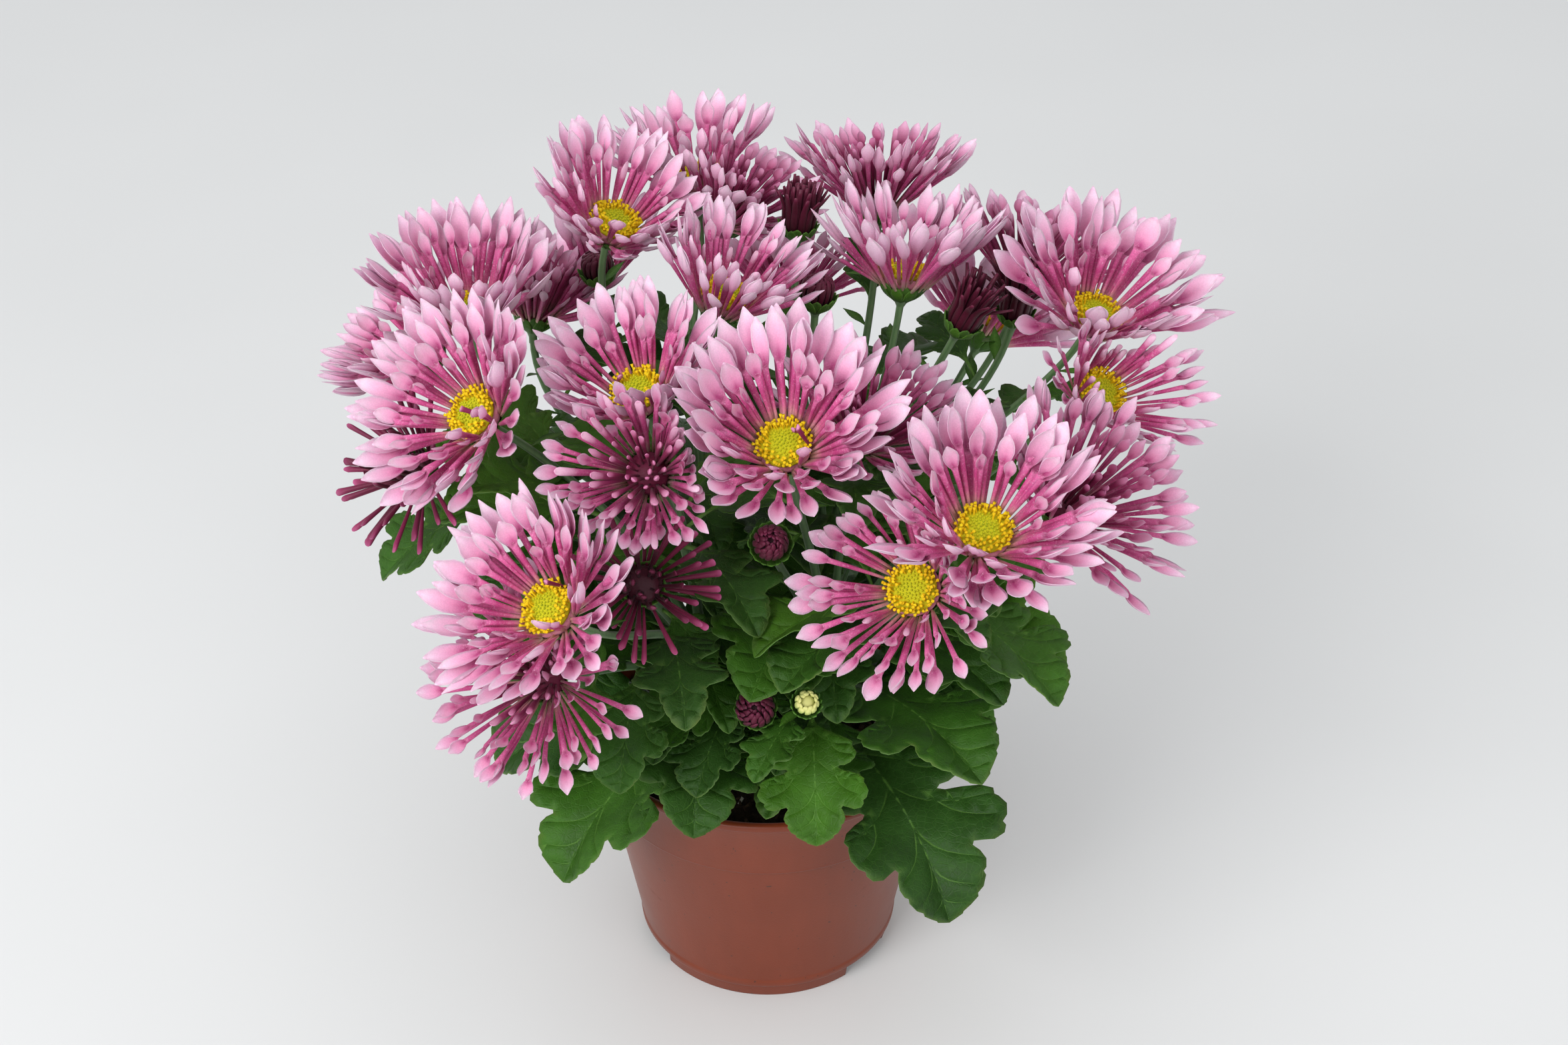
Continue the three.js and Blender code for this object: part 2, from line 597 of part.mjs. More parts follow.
// A point of a leaf: s along its midrib (0 to 1), across in mm, and off its surface in mm.
// The midrib starts at the foot with the leaf's pitch and bends down through its droop.
function leafPoint(leaf, s, across, off) {
  const [start, end] = [rad(leaf.pitch), rad(leaf.pitch - leaf.droop * s)];
  const bend = rad(leaf.droop);
  const run = (leaf.length * (Math.sin(start) - Math.sin(end))) / bend;
  const climb = (leaf.length * (Math.cos(end) - Math.cos(start))) / bend;
  const heading = rad(leaf.heading);
  const out = vec(Math.cos(heading), Math.sin(heading), 0);
  const side = vec(-Math.sin(heading), Math.cos(heading), 0);
  const normal = out.clone().multiplyScalar(-Math.sin(end)).add(vec(0, 0, Math.cos(end)));
  const roll = rad(leaf.roll);
  const width = side.clone().multiplyScalar(Math.cos(roll)).addScaledVector(normal, Math.sin(roll));
  const upright = normal.multiplyScalar(Math.cos(roll)).addScaledVector(side, -Math.sin(roll));
  const flat = Math.min(1, Math.abs(across) / LEAF_FLAT);
  const wave = LEAF_WAVE * leaf.length * Math.sin(LEAF_WAVES * s) * flat;
  const lift = off + LEAF_FOLD * Math.abs(across) + wave;
  return leaf.foot.clone().addScaledVector(out, run).add(vec(0, 0, climb))
    .addScaledVector(width, across).addScaledVector(upright, lift);
}

// Triangles between two rows of points that both run from the leaf's foot to its tip.
function zip(rib, edge, stationOf, turn) {
  const triangles = [];
  let [i, j] = [0, 0];
  while (i + 1 < rib.length || j + 1 < edge.length) {
    const ribNext = i + 1 < rib.length ? stationOf(rib[i + 1]) : Infinity;
    const edgeNext = j + 1 < edge.length ? stationOf(edge[j + 1]) : Infinity;
    const advanceEdge = edgeNext <= ribNext;
    const third = advanceEdge ? edge[j + 1] : rib[i + 1];
    triangles.push(turn ? [rib[i], third, edge[j]] : [rib[i], edge[j], third]);
    if (advanceEdge) j += 1;
    else i += 1;
  }
  return triangles;
}

// A leaf is a thin blade, split into the same triangles above and below its folded midrib.
// It starts at a share `from` of the way along its stalk.
function leafSolid(leaf, thickness, from = 0) {
  const left = leaf.form.edge.map(([s, y]) => [Math.max(s, from), y]);
  const right = left.map(([s, y]) => [s, -y]);
  const flat = [...left, [1, 0], ...right.reverse(), ...leaf.form.midrib.map((s) => [s, 0])];
  const count = flat.length;
  const rim = left.length + right.length + 1;
  const stationOf = (index) => flat[index][0];
  const leftEdge = left.map((_, i) => i).concat(left.length);
  const rightEdge = right.map((_, i) => rim - 1 - i).concat(left.length);
  const rib = leaf.form.midrib.map((_, i) => rim + i);
  const upper = [
    ...zip(rib, rightEdge, stationOf, false), ...zip(rib, leftEdge, stationOf, true),
    [0, rim - 1, rim],
  ];
  const points = [0.5, -0.5].flatMap((level) => flat.map(([s, y]) => {
    const body = thickness * (s < STALK[0] ? STALK[1] : 1);
    return leafPoint(leaf, s, y * leaf.length, level * body);
  }));
  const lower = upper.map(([a, b, c]) => [a + count, c + count, b + count]);
  const walls = [];
  for (let i = 0; i < rim; i += 1) {
    const next = (i + 1) % rim;
    walls.push([i, next, next + count], [i, next + count, i + count]);
  }
  return solidOf(points, [...upper, ...lower, ...walls]);
}

// Every leaf that the plants could carry, largest first. Each is turned until it has room.
function leafPlans() {
  const plans = LARGE_LEAVES.map(([carrier, at, heading, pitch, length, droop], i) => {
    const shoot = FLOWERS.find((flower) => flower.name === carrier);
    return {
      cutting: shoot ? shoot.cutting : carrier,
      foot: shoot ? shoot.route[at * SHOOT_STEPS] : vec(...CUTTINGS[carrier], at),
      pitch, length, droop, heading, form: LARGE_LEAF, turns: LARGE_TURNS,
      roll: LARGE_ROLL * Math.sin(2.4 * i),
    };
  });
  const blooms = FLOWERS.filter((flower) => !flower.closed);
  blooms.forEach((flower, f) => {
    const { at, pitch, length, droop } = SHOOT_LEAVES[f % 2];
    plans.push({
      cutting: flower.cutting, foot: flower.route[at * SHOOT_STEPS],
      pitch, length, droop, heading: GOLDEN_TURN * f, form: SMALL_LEAF, turns: LEAF_TURNS,
      roll: SMALL_ROLL * Math.sin(1.9 * f),
    });
  });
  return plans;
}

function boxesMeet(a, b) {
  const [p, q] = [a.boundingBox(), b.boundingBox()];
  return [0, 1, 2].every((i) => p.min[i] <= q.max[i] && q.min[i] <= p.max[i]);
}

const PROBE_THICKNESS = 1.8;
const STALK_FREE = 0.32;      // the share of a leaf near its foot that may meet its own plant

function meets(solid, other) {
  return boxesMeet(solid, other) && !solid.intersect(other).isEmpty();
}

// Turns and tilts a leaf until it crosses neither another piece nor its own plant.
function fittedLeaf(plan, others, plant) {
  for (const turn of plan.turns) {
    for (const tilt of LEAF_TILTS) {
      const leaf = { ...plan, heading: plan.heading + turn, pitch: plan.pitch + tilt };
      const probe = leafSolid(leaf, PROBE_THICKNESS);
      const blade = leafSolid(leaf, PROBE_THICKNESS, STALK_FREE);
      if (!others.some((other) => meets(probe, other)) && !meets(blade, plant)) return leaf;
    }
  }
  return null;
}

// Adds the leaves to the plants. A leaf that has no room is left out.
function addLeaves(plants, obstacles) {
  const placed = [];
  for (const plan of leafPlans()) {
    const others = [...obstacles, ...plants.filter((_, i) => i !== plan.cutting), ...placed];
    const leaf = fittedLeaf(plan, others, plants[plan.cutting]);
    if (leaf !== null) {
      const blade = leafSolid(leaf, LEAF_THICKNESS);
      placed.push(blade);
      plants[plan.cutting] = plants[plan.cutting].add(blade);
    }
  }
}

// ---- the whole plant -------------------------------------------------------------------------

const DARK = new Set(['young', 'bud']);   // the kinds that are still dark

function lookOf(flower) {
  if (flower.kind === 'small_bud') return GREEN_BUD;
  return DARK.has(flower.kind) ? YOUNG_PETAL : PETAL;
}

const root = new THREE.Group();
const pot = potSolid();
const soil = soilSolid();
const obstacles = [pot, soil];
root.add(meshOf('pot', pot, PLASTIC), meshOf('soil', soil, PEAT));

for (const flower of FLOWERS) {
  const petals = flowerSolid(flower);
  obstacles.push(petals);
  root.add(meshOf(flower.name, petals, lookOf(flower)));
  if (KINDS[flower.kind].disc) {
    const disc = discSolid(flower);
    obstacles.push(disc);
    root.add(meshOf(flower.name.replace('bloom', 'disc'), disc, DISC));
  }
}

const plants = CUTTINGS.map(cuttingSolid);
addLeaves(plants, obstacles);
plants.forEach((plant, i) => root.add(meshOf(`plant_${i + 1}`, plant, LEAF)));

export default root;
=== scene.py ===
"""Pot chrysanthemum in flower: the finished look over its solid model, which stays as the frame."""

import itertools
import math
import random

import bpy
import numpy as np
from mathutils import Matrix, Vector
from mathutils.bvhtree import BVHTree
from mathutils.geometry import delaunay_2d_cdt


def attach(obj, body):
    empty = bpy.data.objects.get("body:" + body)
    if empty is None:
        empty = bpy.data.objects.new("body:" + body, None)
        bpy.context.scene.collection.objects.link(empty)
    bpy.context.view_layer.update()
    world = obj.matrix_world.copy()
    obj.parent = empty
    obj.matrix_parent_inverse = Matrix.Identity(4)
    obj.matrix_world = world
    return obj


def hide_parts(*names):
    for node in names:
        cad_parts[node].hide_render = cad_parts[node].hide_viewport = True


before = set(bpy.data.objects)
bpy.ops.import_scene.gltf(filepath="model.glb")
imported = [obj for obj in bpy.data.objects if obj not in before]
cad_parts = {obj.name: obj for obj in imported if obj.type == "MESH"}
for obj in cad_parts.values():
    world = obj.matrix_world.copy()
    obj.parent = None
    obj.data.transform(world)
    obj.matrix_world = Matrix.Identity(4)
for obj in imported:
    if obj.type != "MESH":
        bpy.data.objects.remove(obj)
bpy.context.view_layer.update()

MM = 0.001
SEED = 20
PHASE = 6.28                # the largest start of a wave


# ---- the plant's own sizes, in mm, as in the solids ----

POT_HEIGHT = 98
RIM_RADIUS = 65
COLLAR_DEPTH = 26.5
COLLAR_RADIUS = 59.4
COLLAR_STEP = 1.2
RIDGE_RADIUS = 47.2
FOOT_RADIUS = 45.4
FOOT_HEIGHT = 6
WALL = 1.7
FOOT_GAPS = (-36.5, 83.5, 203.5)
FOOT_GAP_ANGLE = 29
DRAIN_HOLES = 6
DRAIN_RADIUS = 4.5
DRAIN_CIRCLE = 32
SOIL_TOP = 88
STEM_ROOT = 60
CROWN = 100
CUTTINGS = [(-21, -17), (21, -19), (-20, 20), (21, 19)]
COLLAR_EDGE = POT_HEIGHT - COLLAR_DEPTH
FLOOR_TOP = FOOT_HEIGHT + WALL
INNER_FLOOR_RADIUS = RIDGE_RADIUS - WALL - 0.6
INNER_COLLAR_RADIUS = COLLAR_RADIUS - WALL
INNER_RIM_RADIUS = RIM_RADIUS - 1.2 - WALL

# Name, middle of the disc, lean of the axis for a rise of 1, reach of the petals, kind.
FLOWERS = [
    ("bloom_01", (-49, 38, 268), (0.38, -0.25), 33, "open"),
    ("bloom_02", (-24, 85, 262), (-0.05, 0.1), 32, "open"),
    ("bloom_03", (-12, 66, 258), (0.55, 0.1), 34, "double"),
    ("bloom_04", (39, 92, 250), (0, 0.15), 34, "double"),
    ("bloom_05", (46, 42, 247), (0.12, 0.3), 36, "open"),
    ("bloom_06", (-13, 10, 256), (0.3, 0), 33, "cupped"),
    ("bloom_07", (89, 66, 236), (0.2, 0.2), 36, "double"),
    ("bloom_08", (107, 18, 245), (0.3, -0.28), 40, "open"),
    ("bloom_09", (107, -5, 229), (0.6, -0.7), 35, "cupped"),
    ("bloom_10", (-96, 18, 246), (-0.05, -0.12), 38, "cupped"),
    ("bloom_11", (-115, 25, 227), (-0.7, -0.05), 31, "open"),
    ("bloom_12", (-89, -37, 241), (-0.7, -0.7), 36, "open"),
    ("bloom_13", (-79, 58, 226), (0.15, 0.25), 31, "double"),
    ("bloom_14", (-39, -30, 245), (-0.25, -0.3), 34, "open"),
    ("bloom_15", (6, -62, 246), (-0.1, -0.55), 39, "open"),
    ("bloom_16", (-35, -66, 239), (-0.2, -1.1), 29, "double"),
    ("bloom_17", (32, -16, 221), (0.2, -0.15), 34, "double"),
    ("bloom_18", (63, -95, 238), (0.12, -0.42), 38, "open"),
    ("bloom_19", (92, -62, 224), (0.55, -0.45), 37, "double"),
    ("bloom_20", (44, -86, 211), (-0.6, -1.1), 33, "open"),
    ("bloom_21", (-62, -103, 216), (-0.6, -0.57), 35, "open"),
    ("bloom_22", (-68, -87, 178), (-0.6, -1.3), 34, "double"),
    ("bloom_23", (-36, -74, 204), (0.3, -1.2), 24, "young"),
    ("bloom_24", (-113, -20, 211), (-1, -0.8), 26, "young"),
    ("bloom_25", (-66, 98, 214), (-0.5, 0.7), 36, "open"),
    ("bloom_26", (8, 111, 202), (0.05, 0.9), 32, "double"),
    ("bloom_27", (80, 100, 194), (0.6, 0.7), 36, "open"),
    ("bud_1", (-57, 55, 243), (-0.1, 0), 7, "bud"),
    ("bud_2", (11, 52, 262), (0.1, 0), 14, "bud"),
    ("bud_3", (17, 25, 250), (0.1, 0), 7, "bud"),
    ("bud_4", (65, 20, 243), (0.4, -0.1), 16, "bud"),
    ("bud_5", (2, -67, 214), (0, -1), 7, "bud"),
    ("bud_6", (-3, -73, 155), (-0.1, -1.1), 8, "bud"),
    ("bud_7", (13, -79, 162), (0.2, -0.8), 3.5, "small_bud"),
    ("bud_8", (84, 45, 233), (0.1, -0.1), 18, "bud"),
]

# The core that each kind's petals grow from: radius and height of its rings. Its green cup ends
# at the first one.
OPEN_CORE = [(5.4, -6), (8, -3.7), (8.6, -1)]
CORE = {
    "open": OPEN_CORE,
    "cupped": OPEN_CORE,
    "double": [(5.2, -6), (7, -3.4), (6.4, -1), (3.4, 0.6)],
    "young": [(4.8, -6), (6.2, -3.4), (4.6, -1)],
    "bud": [(4.4, -4.5), (4.8, 2)],
    "small_bud": [(3.2, -3), (2.6, 1)],
}
CLOSED = ("bud", "small_bud")
WITH_DISC = ("open", "cupped")
DISC_RADIUS = 7.9

# Whorls of ray florets, from the outside in: how many, rise in degrees, length over the reach,
# spoon width over the reach, where the tube opens, foot radius and height, and how dark they are.
WHORLS = {
    "open": [
        (18, 33, 1.0, 0.2, 0.53, 8.0, -4.2, 0.0),
        (18, 42, 0.97, 0.195, 0.53, 8.3, -3.3, 0.02),
        (17, 50, 0.87, 0.18, 0.55, 8.4, -2.3, 0.06),
        (14, 58, 0.71, 0.16, 0.61, 8.3, -1.5, 0.14),
        (8, 64, 0.48, 0.12, 0.66, 8.2, -1.0, 0.3),
    ],
    "cupped": [
        (18, 45, 1.0, 0.185, 0.54, 8.0, -4.2, 0.0),
        (18, 52, 0.97, 0.18, 0.54, 8.3, -3.3, 0.04),
        (17, 59, 0.88, 0.165, 0.56, 8.4, -2.3, 0.09),
        (13, 67, 0.73, 0.145, 0.64, 8.3, -1.5, 0.18),
        (7, 77, 0.48, 0.115, 0.67, 8.2, -1.0, 0.34),
    ],
    "double": [
        (18, 25, 1.0, 0.15, 0.7, 6.4, -4.4, 0.12),
        (18, 34, 0.98, 0.15, 0.7, 6.8, -3.7, 0.2),
        (17, 43, 0.9, 0.14, 0.71, 6.7, -2.9, 0.34),
        (16, 52, 0.8, 0.13, 0.73, 6.2, -2, 0.55),
        (14, 61, 0.68, 0.12, 0.76, 5.2, -1.2, 0.78),
        (12, 70, 0.54, 0.085, 0.79, 3.9, -0.5, 0.92),
        (9, 80, 0.4, 0.075, 0.82, 2.2, 0.2, 1.0),
    ],
    "young": [
        (13, 11, 1.0, 0.125, 0.84, 5.6, -4.6, 0.5),
        (12, 24, 0.97, 0.125, 0.84, 5.8, -3.8, 0.6),
        (11, 38, 0.85, 0.12, 0.85, 5.4, -2.8, 0.75),
        (9, 54, 0.62, 0.115, 0.86, 4.4, -1.8, 0.95),
        (7, 68, 0.42, 0.11, 0.88, 2.6, -0.9, 1.0),
    ],
}
# Some flowers have smaller spoons: their width and their length over the usual ones.
SPOON_SIZE = {
    "bloom_05": (0.82, 0.9), "bloom_06": (0.8, 0.9), "bloom_09": (0.7, 0.7),
    "bloom_20": (0.84, 0.7), "bloom_22": (0.95, 0.8),
}
# And some have longer or shorter petals than their solids.
GROWN = {"bloom_02": 1.1, "bloom_04": 1.12, "bloom_05": 1.08, "bloom_23": 0.82}

LARGE, SMALL = 0, 1
# What carries a leaf (a cutting and the height on it, or a flower and the place along its shoot),
# its heading, first pitch, length and droop.
LARGE_LEAVES = [
    (1, 100, -62, 32, 94, 90),
    (0, 102, -128, 28, 84, 84),
    (0, 112, -92, 30, 70, 90),
    ("bud_7", 0.5, -88, 8, 54, 70),
    (1, 122, -54, 30, 86, 64),
    ("bud_6", 0.75, -166, 14, 40, 50),
    ("bud_6", 0.5, -108, 14, 42, 60),
    ("bloom_15", 0.25, -112, 30, 66, 70),
    ("bloom_20", 0.5, -128, 14, 60, 60),
    ("bloom_23", 0.5, -30, 18, 56, 50),
    ("bloom_19", 0.5, -46, 8, 62, 46),
    ("bloom_22", 0.5, -96, 10, 50, 60),
    ("bloom_24", 0.5, -150, 4, 50, 50),
    (1, 104, -16, 26, 64, 84),
    (1, 134, -14, 34, 84, 56),
    (0, 106, -166, 24, 80, 82),
    (0, 128, -144, 38, 76, 60),
    (2, 106, 170, 26, 82, 92),
    (2, 122, 146, 34, 84, 66),
    (2, 104, 118, 28, 84, 84),
    (2, 130, 88, 48, 76, 58),
    (3, 108, 70, 28, 84, 84),
    (3, 122, 42, 34, 88, 64),
    (3, 104, 14, 26, 84, 88),
    (3, 134, 104, 50, 72, 58),
    ("bloom_24", 0.75, -166, -4, 50, 50),
    ("bloom_12", 0.5, 172, 16, 60, 60),
]
# One small leaf on each bloom's shoot, in turn low and high: place, pitch, length and droop.
SHOOT_LEAVES = [(0.25, 32, 64, 62), (0.5, 32, 56, 66)]
GOLDEN_TURN = 137.5
# Each leaf's form has its roll, and the turns that the solids tried until it had room.
ROLL = {LARGE: (14, 2.4), SMALL: (18, 1.9)}
TURNS = {LARGE: (0, 8, -8, 16, -16), SMALL: (0, 35, -35, 70, -70)}
TILTS = (0, 10, -10, 20)
SOLID_LEAF = 0.8            # how thick a leaf is in the solids
LEAF_FOLD = 0.28
LEAF_WAVE = 0.035

# Half of each leaf's outline from foot to tip, in thousandths of its length: along, and away from
# the midrib. Then its side veins, each from its root on the midrib or on another vein to its end.
OUTLINE = {
    LARGE: [
        (0, 11), (120, 10), (200, 14), (255, 34), (300, 78), (340, 135), (375, 190), (400, 232),
        (422, 260), (440, 254), (452, 262), (482, 284), (510, 270), (532, 235), (540, 195),
        (534, 165), (543, 150), (562, 172), (582, 225), (608, 283), (638, 318), (658, 312),
        (670, 322), (703, 336), (735, 320), (749, 296), (763, 300), (783, 282), (790, 240),
        (778, 198), (771, 170), (782, 160), (805, 176), (835, 184), (860, 172), (868, 158),
        (882, 160), (912, 138), (927, 112), (938, 110), (958, 80), (974, 54), (981, 50), (993, 20),
    ],
    SMALL: [
        (0, 12), (130, 11), (220, 16), (280, 45), (335, 105), (380, 170), (412, 214), (428, 212),
        (452, 246), (482, 240), (503, 205), (510, 172), (522, 140), (538, 130), (557, 150),
        (590, 196), (630, 234), (650, 228), (664, 240), (700, 266), (737, 262), (762, 230),
        (768, 186), (770, 150), (784, 128), (815, 134), (845, 130), (860, 116), (876, 118),
        (912, 104), (930, 84), (947, 80), (975, 50), (993, 18),
    ],
}
VEINS = {
    LARGE: [
        ((270, 0), (450, 245)), ((340, 85), (500, 255)), ((460, 0), (660, 300)),
        ((545, 118), (735, 290)), ((580, 175), (605, 262)), ((640, 0), (840, 165)),
        ((760, 0), (915, 118)), ((850, 0), (955, 70)),
    ],
    SMALL: [
        ((260, 0), (450, 225)), ((330, 75), (490, 210)), ((460, 0), (700, 250)),
        ((550, 90), (630, 215)), ((660, 0), (830, 122)), ((790, 0), (910, 66)),
    ],
}


# ---- meshes ----


PLAIN = (0.5, 0.5, 0, 0)    # the tones of a surface that needs none of its own


class Mesh:
    """Gathers points in mm, faces, finishes and tones, and makes one object of them. A point's four
    tones are values from 0 to 1 that its finish turns into colours."""

    def __init__(self):
        self.points, self.tones, self.faces, self.finish = [], [], [], []
        self.count = 0

    def add(self, points, tone, finish, *groups):
        """tone is four numbers, or four a point. Each group of faces has one number of corners."""
        points = np.asarray(points, float).reshape(-1, 3)
        tone = np.asarray(tone, float).reshape(-1, 4)
        self.points.append(points)
        self.tones.append(np.broadcast_to(tone, (len(points), 4)))
        for faces in groups:
            self.faces += (np.asarray(faces) + self.count).tolist()
            self.finish += [finish] * len(faces)
        self.count += len(points)

    def skin(self, rings, tone, finish=0, ends=2):
        """A tube through rings of points, with a cap on both ends, only on its last, or on none."""
        index = np.arange(rings.shape[0] * rings.shape[1]).reshape(rings.shape[:2])
        after = np.roll(index, -1, axis=1)
        walls = np.stack([index[:-1], after[:-1], after[1:], index[1:]], axis=-1).reshape(-1, 4)
        self.add(rings, tone, finish, walls, np.stack([index[0, ::-1], index[-1]])[2 - ends:])

    def make(self, name, *finishes):
        data = bpy.data.meshes.new(name)
        data.from_pydata((np.concatenate(self.points) * MM).tolist(), [], self.faces)
        data.polygons.foreach_set("material_index", self.finish)
        data.polygons.foreach_set("use_smooth", [True] * len(self.faces))
        tone = data.attributes.new("tone", "FLOAT_COLOR", "POINT")
        tone.data.foreach_set("color", np.concatenate(self.tones).astype(np.float32).ravel())
        data.update()
        for finish in finishes:
            data.materials.append(finish)
        return placed(name, data)


def unit(v):
    v = np.asarray(v, float)
    return v / np.linalg.norm(v, axis=-1, keepdims=True)


def placed(name, data):
    """A new object in the scene that shows this data."""
    made = bpy.data.objects.new(name, data)
    bpy.context.scene.collection.objects.link(made)
    return made


def circle(sides):
    """Even angles all the way round."""
    return 2 * np.pi * np.arange(sides) / sides


RING = 8
RING_ANGLES = circle(RING)
# Round a hollow blade the points of the upper face keep close to the rims, which stay sharp.
BLADE_ANGLES = np.radians([0, 14, 90, 166, 180, 230, 270, 310])
# On petals, this share of each point turns the inner face of a spoon towards painted shade.
BLADE_FACE = np.array([0.12, 0.5, 1, 0.5, 0.12, 0, 0, 0])    # how far inside each of them lies


def tones(shape, *values):
    """The four tones of points in rings: each one number for all, one a ring or one round a ring."""
    return np.stack([np.broadcast_to(value, shape) for value in values], axis=-1)


def sweep(mesh, spine, side, half, low, high, tone, finish=0, up=None):
    """A closed skin round a spine. half is its half width, low how far its underside hangs below
    the spine, and high how far its upper side stands above it, or lies below it if negative."""
    if up is None:
        up = np.cross(unit(np.gradient(spine, axis=0)), side)
    half, low, high = (np.broadcast_to(size, len(spine))[:, None] for size in (half, low, high))
    side, up = (np.broadcast_to(way, spine.shape)[:, None, :] for way in (side, up))
    angles = np.where(high < 0, BLADE_ANGLES, RING_ANGLES)
    lift = np.sin(angles)
    depth = np.where(lift < 0, low, high) * lift
    ring = (np.cos(angles) * half)[:, :, None] * side + depth[:, :, None] * up
    mesh.skin(spine[:, None, :] + ring, tone, finish)


# ---- where flowers, shoots and leaves lie ----


class Flower:
    """A bloom or bud: its axis w and the two ways u and v across it, its site and girth, which keep
    its neighbours' petals off, and the shoot that carries it."""

    def __init__(self, name, centre, lean, reach, kind):
        self.name, self.kind, self.reach = name, kind, reach
        self.centre = np.array(centre, float)
        self.w = unit([*lean, 1])
        self.u = unit(np.cross([0, 1, 0], self.w))
        self.v = np.cross(self.w, self.u)
        self.closed = kind in CLOSED
        self.site = self.at((0, 0.42 * reach))
        self.girth = CORE[kind][0][0] + 0.7 * reach if self.closed else 0.85 * reach
        away = [(centre[0] - 2 * x) ** 2 + (centre[1] - 2 * y) ** 2 for x, y in CUTTINGS]
        self.cutting = away.index(min(away))
        self.shoot = self.curve()
        self.route = self.bezier(np.linspace(0, 1, 5))

    def out(self, angle):
        """The way out from the axis at an angle, or one for each of many angles."""
        return np.multiply.outer(np.cos(angle), self.u) + np.multiply.outer(np.sin(angle), self.v)

    def at(self, path, out=0):
        """Points at these radii and heights, on this way out from the axis."""
        path = np.asarray(path, float)
        return self.centre + path[..., :1] * out + path[..., 1:] * self.w

    def rings(self, profile, sides):
        """Rings of points round the axis, one for each radius and height."""
        out = self.out(circle(sides))
        return np.stack([self.at(row, out) for row in profile])

    def curve(self):
        """A shoot leaves its cutting upwards and comes up under its flower along its axis."""
        x, y = CUTTINGS[self.cutting]
        end = self.at((0, CORE[self.kind][0][1] - 0.3))
        start = np.array([x, y, CROWN + 0.28 * max(0, self.centre[2] - 150)])
        span = np.linalg.norm(end - start)
        rising = start + [(end[0] - x) * 0.12, (end[1] - y) * 0.12, 0.38 * span]
        return start, rising, end - 0.34 * span * self.w, end

    def bezier(self, t):
        t = np.asarray(t, float)[:, None]
        a, b, c, d = self.shoot
        return (1 - t) ** 3 * a + 3 * (1 - t) ** 2 * t * b + 3 * (1 - t) * t**2 * c + t**3 * d


flowers = [Flower(*row) for row in FLOWERS]


PETAL_ROOM, SHOOT_ROOM = 12, 45     # how far off a flower or a shoot may still be in the way


def neighbours(flower):
    """The flowers near enough to meet this one's petals."""
    return [other for other in flowers if other is not flower
            and np.linalg.norm(other.site - flower.site) < flower.reach + other.reach + PETAL_ROOM]


def near_shoots(flower):
    """Both ends of the stretches of other shoots that come near this flower."""
    routes = [other.route for other in flowers if other is not flower]
    stretches = [stretch for route in routes for stretch in zip(route[:-1], route[1:])]
    return [(a, b) for a, b in stretches
            if np.linalg.norm((a + b) / 2 - flower.site) < flower.reach + SHOOT_ROOM]


PETAL_GAP = 0.15            # how far petals keep from the surface between two flowers
SHOOT_GAP = 2.4             # and from the middle line of a shoot


def clear_of(points, flower, near, shoots):
    """For each point, whether it lies on this flower's side of its neighbours and off shoots."""
    clear = np.ones(points.shape[:-1], bool)
    own = ((points - flower.site) ** 2).sum(-1) - flower.girth**2
    for other in near:
        far = ((points - other.site) ** 2).sum(-1)
        if other.closed:
            clear &= np.sqrt(far) - other.girth > PETAL_GAP
        else:
            apart = 2 * np.linalg.norm(flower.site - other.site)
            clear &= (far - other.girth**2 - own) / apart > PETAL_GAP
    for a, b in shoots:
        along = b - a
        t = np.clip(((points - a) @ along) / (along @ along), 0, 1)
        clear &= np.linalg.norm(points - (a + t[..., None] * along), axis=-1) > SHOOT_GAP
    return clear


# ---- petals ----

GOLDEN = math.pi * (3 - math.sqrt(5))
# Rows along a ray floret. In the tube: place up to its mouth, and half width over the widest.
TUBE_ROWS = np.array([(0, 0.5), (0.3, 0.6), (0.65, 0.8), (0.97, 1)])
TUBE_FLATNESS = 0.92        # height of the tube over its width
# In the spoon: place from the mouth to the tip, half width, and depth of the outer and the inner
# face below its rim, all over its half width.
SPOON_ROWS = np.array([
    (0.03, 0.44, 0.44, -0.14), (0.14, 0.66, 0.58, -0.46), (0.3, 0.88, 0.58, -0.5),
    (0.48, 1.0, 0.5, -0.43), (0.65, 0.92, 0.38, -0.32), (0.81, 0.67, 0.25, -0.19),
    (0.93, 0.33, 0.11, -0.07), (1.0, 0.05, 0.02, -0.01),
])
# A quill that hasn't opened only loosens at its tip.
QUILL_ROWS = np.array([
    (0.2, 1.06, 1.0, 0.9), (0.5, 1.15, 1.05, 0.5), (0.75, 1.1, 0.9, 0.1), (0.92, 0.8, 0.6, -0.1),
    (1.0, 0.25, 0.25, 0.1),
])
NARROWEST_SPOON = 3.2       # a narrower petal stays a quill
BLUNTED = (0.7, 0.99)       # the part of a spoon or a tip that is blunter in some petals


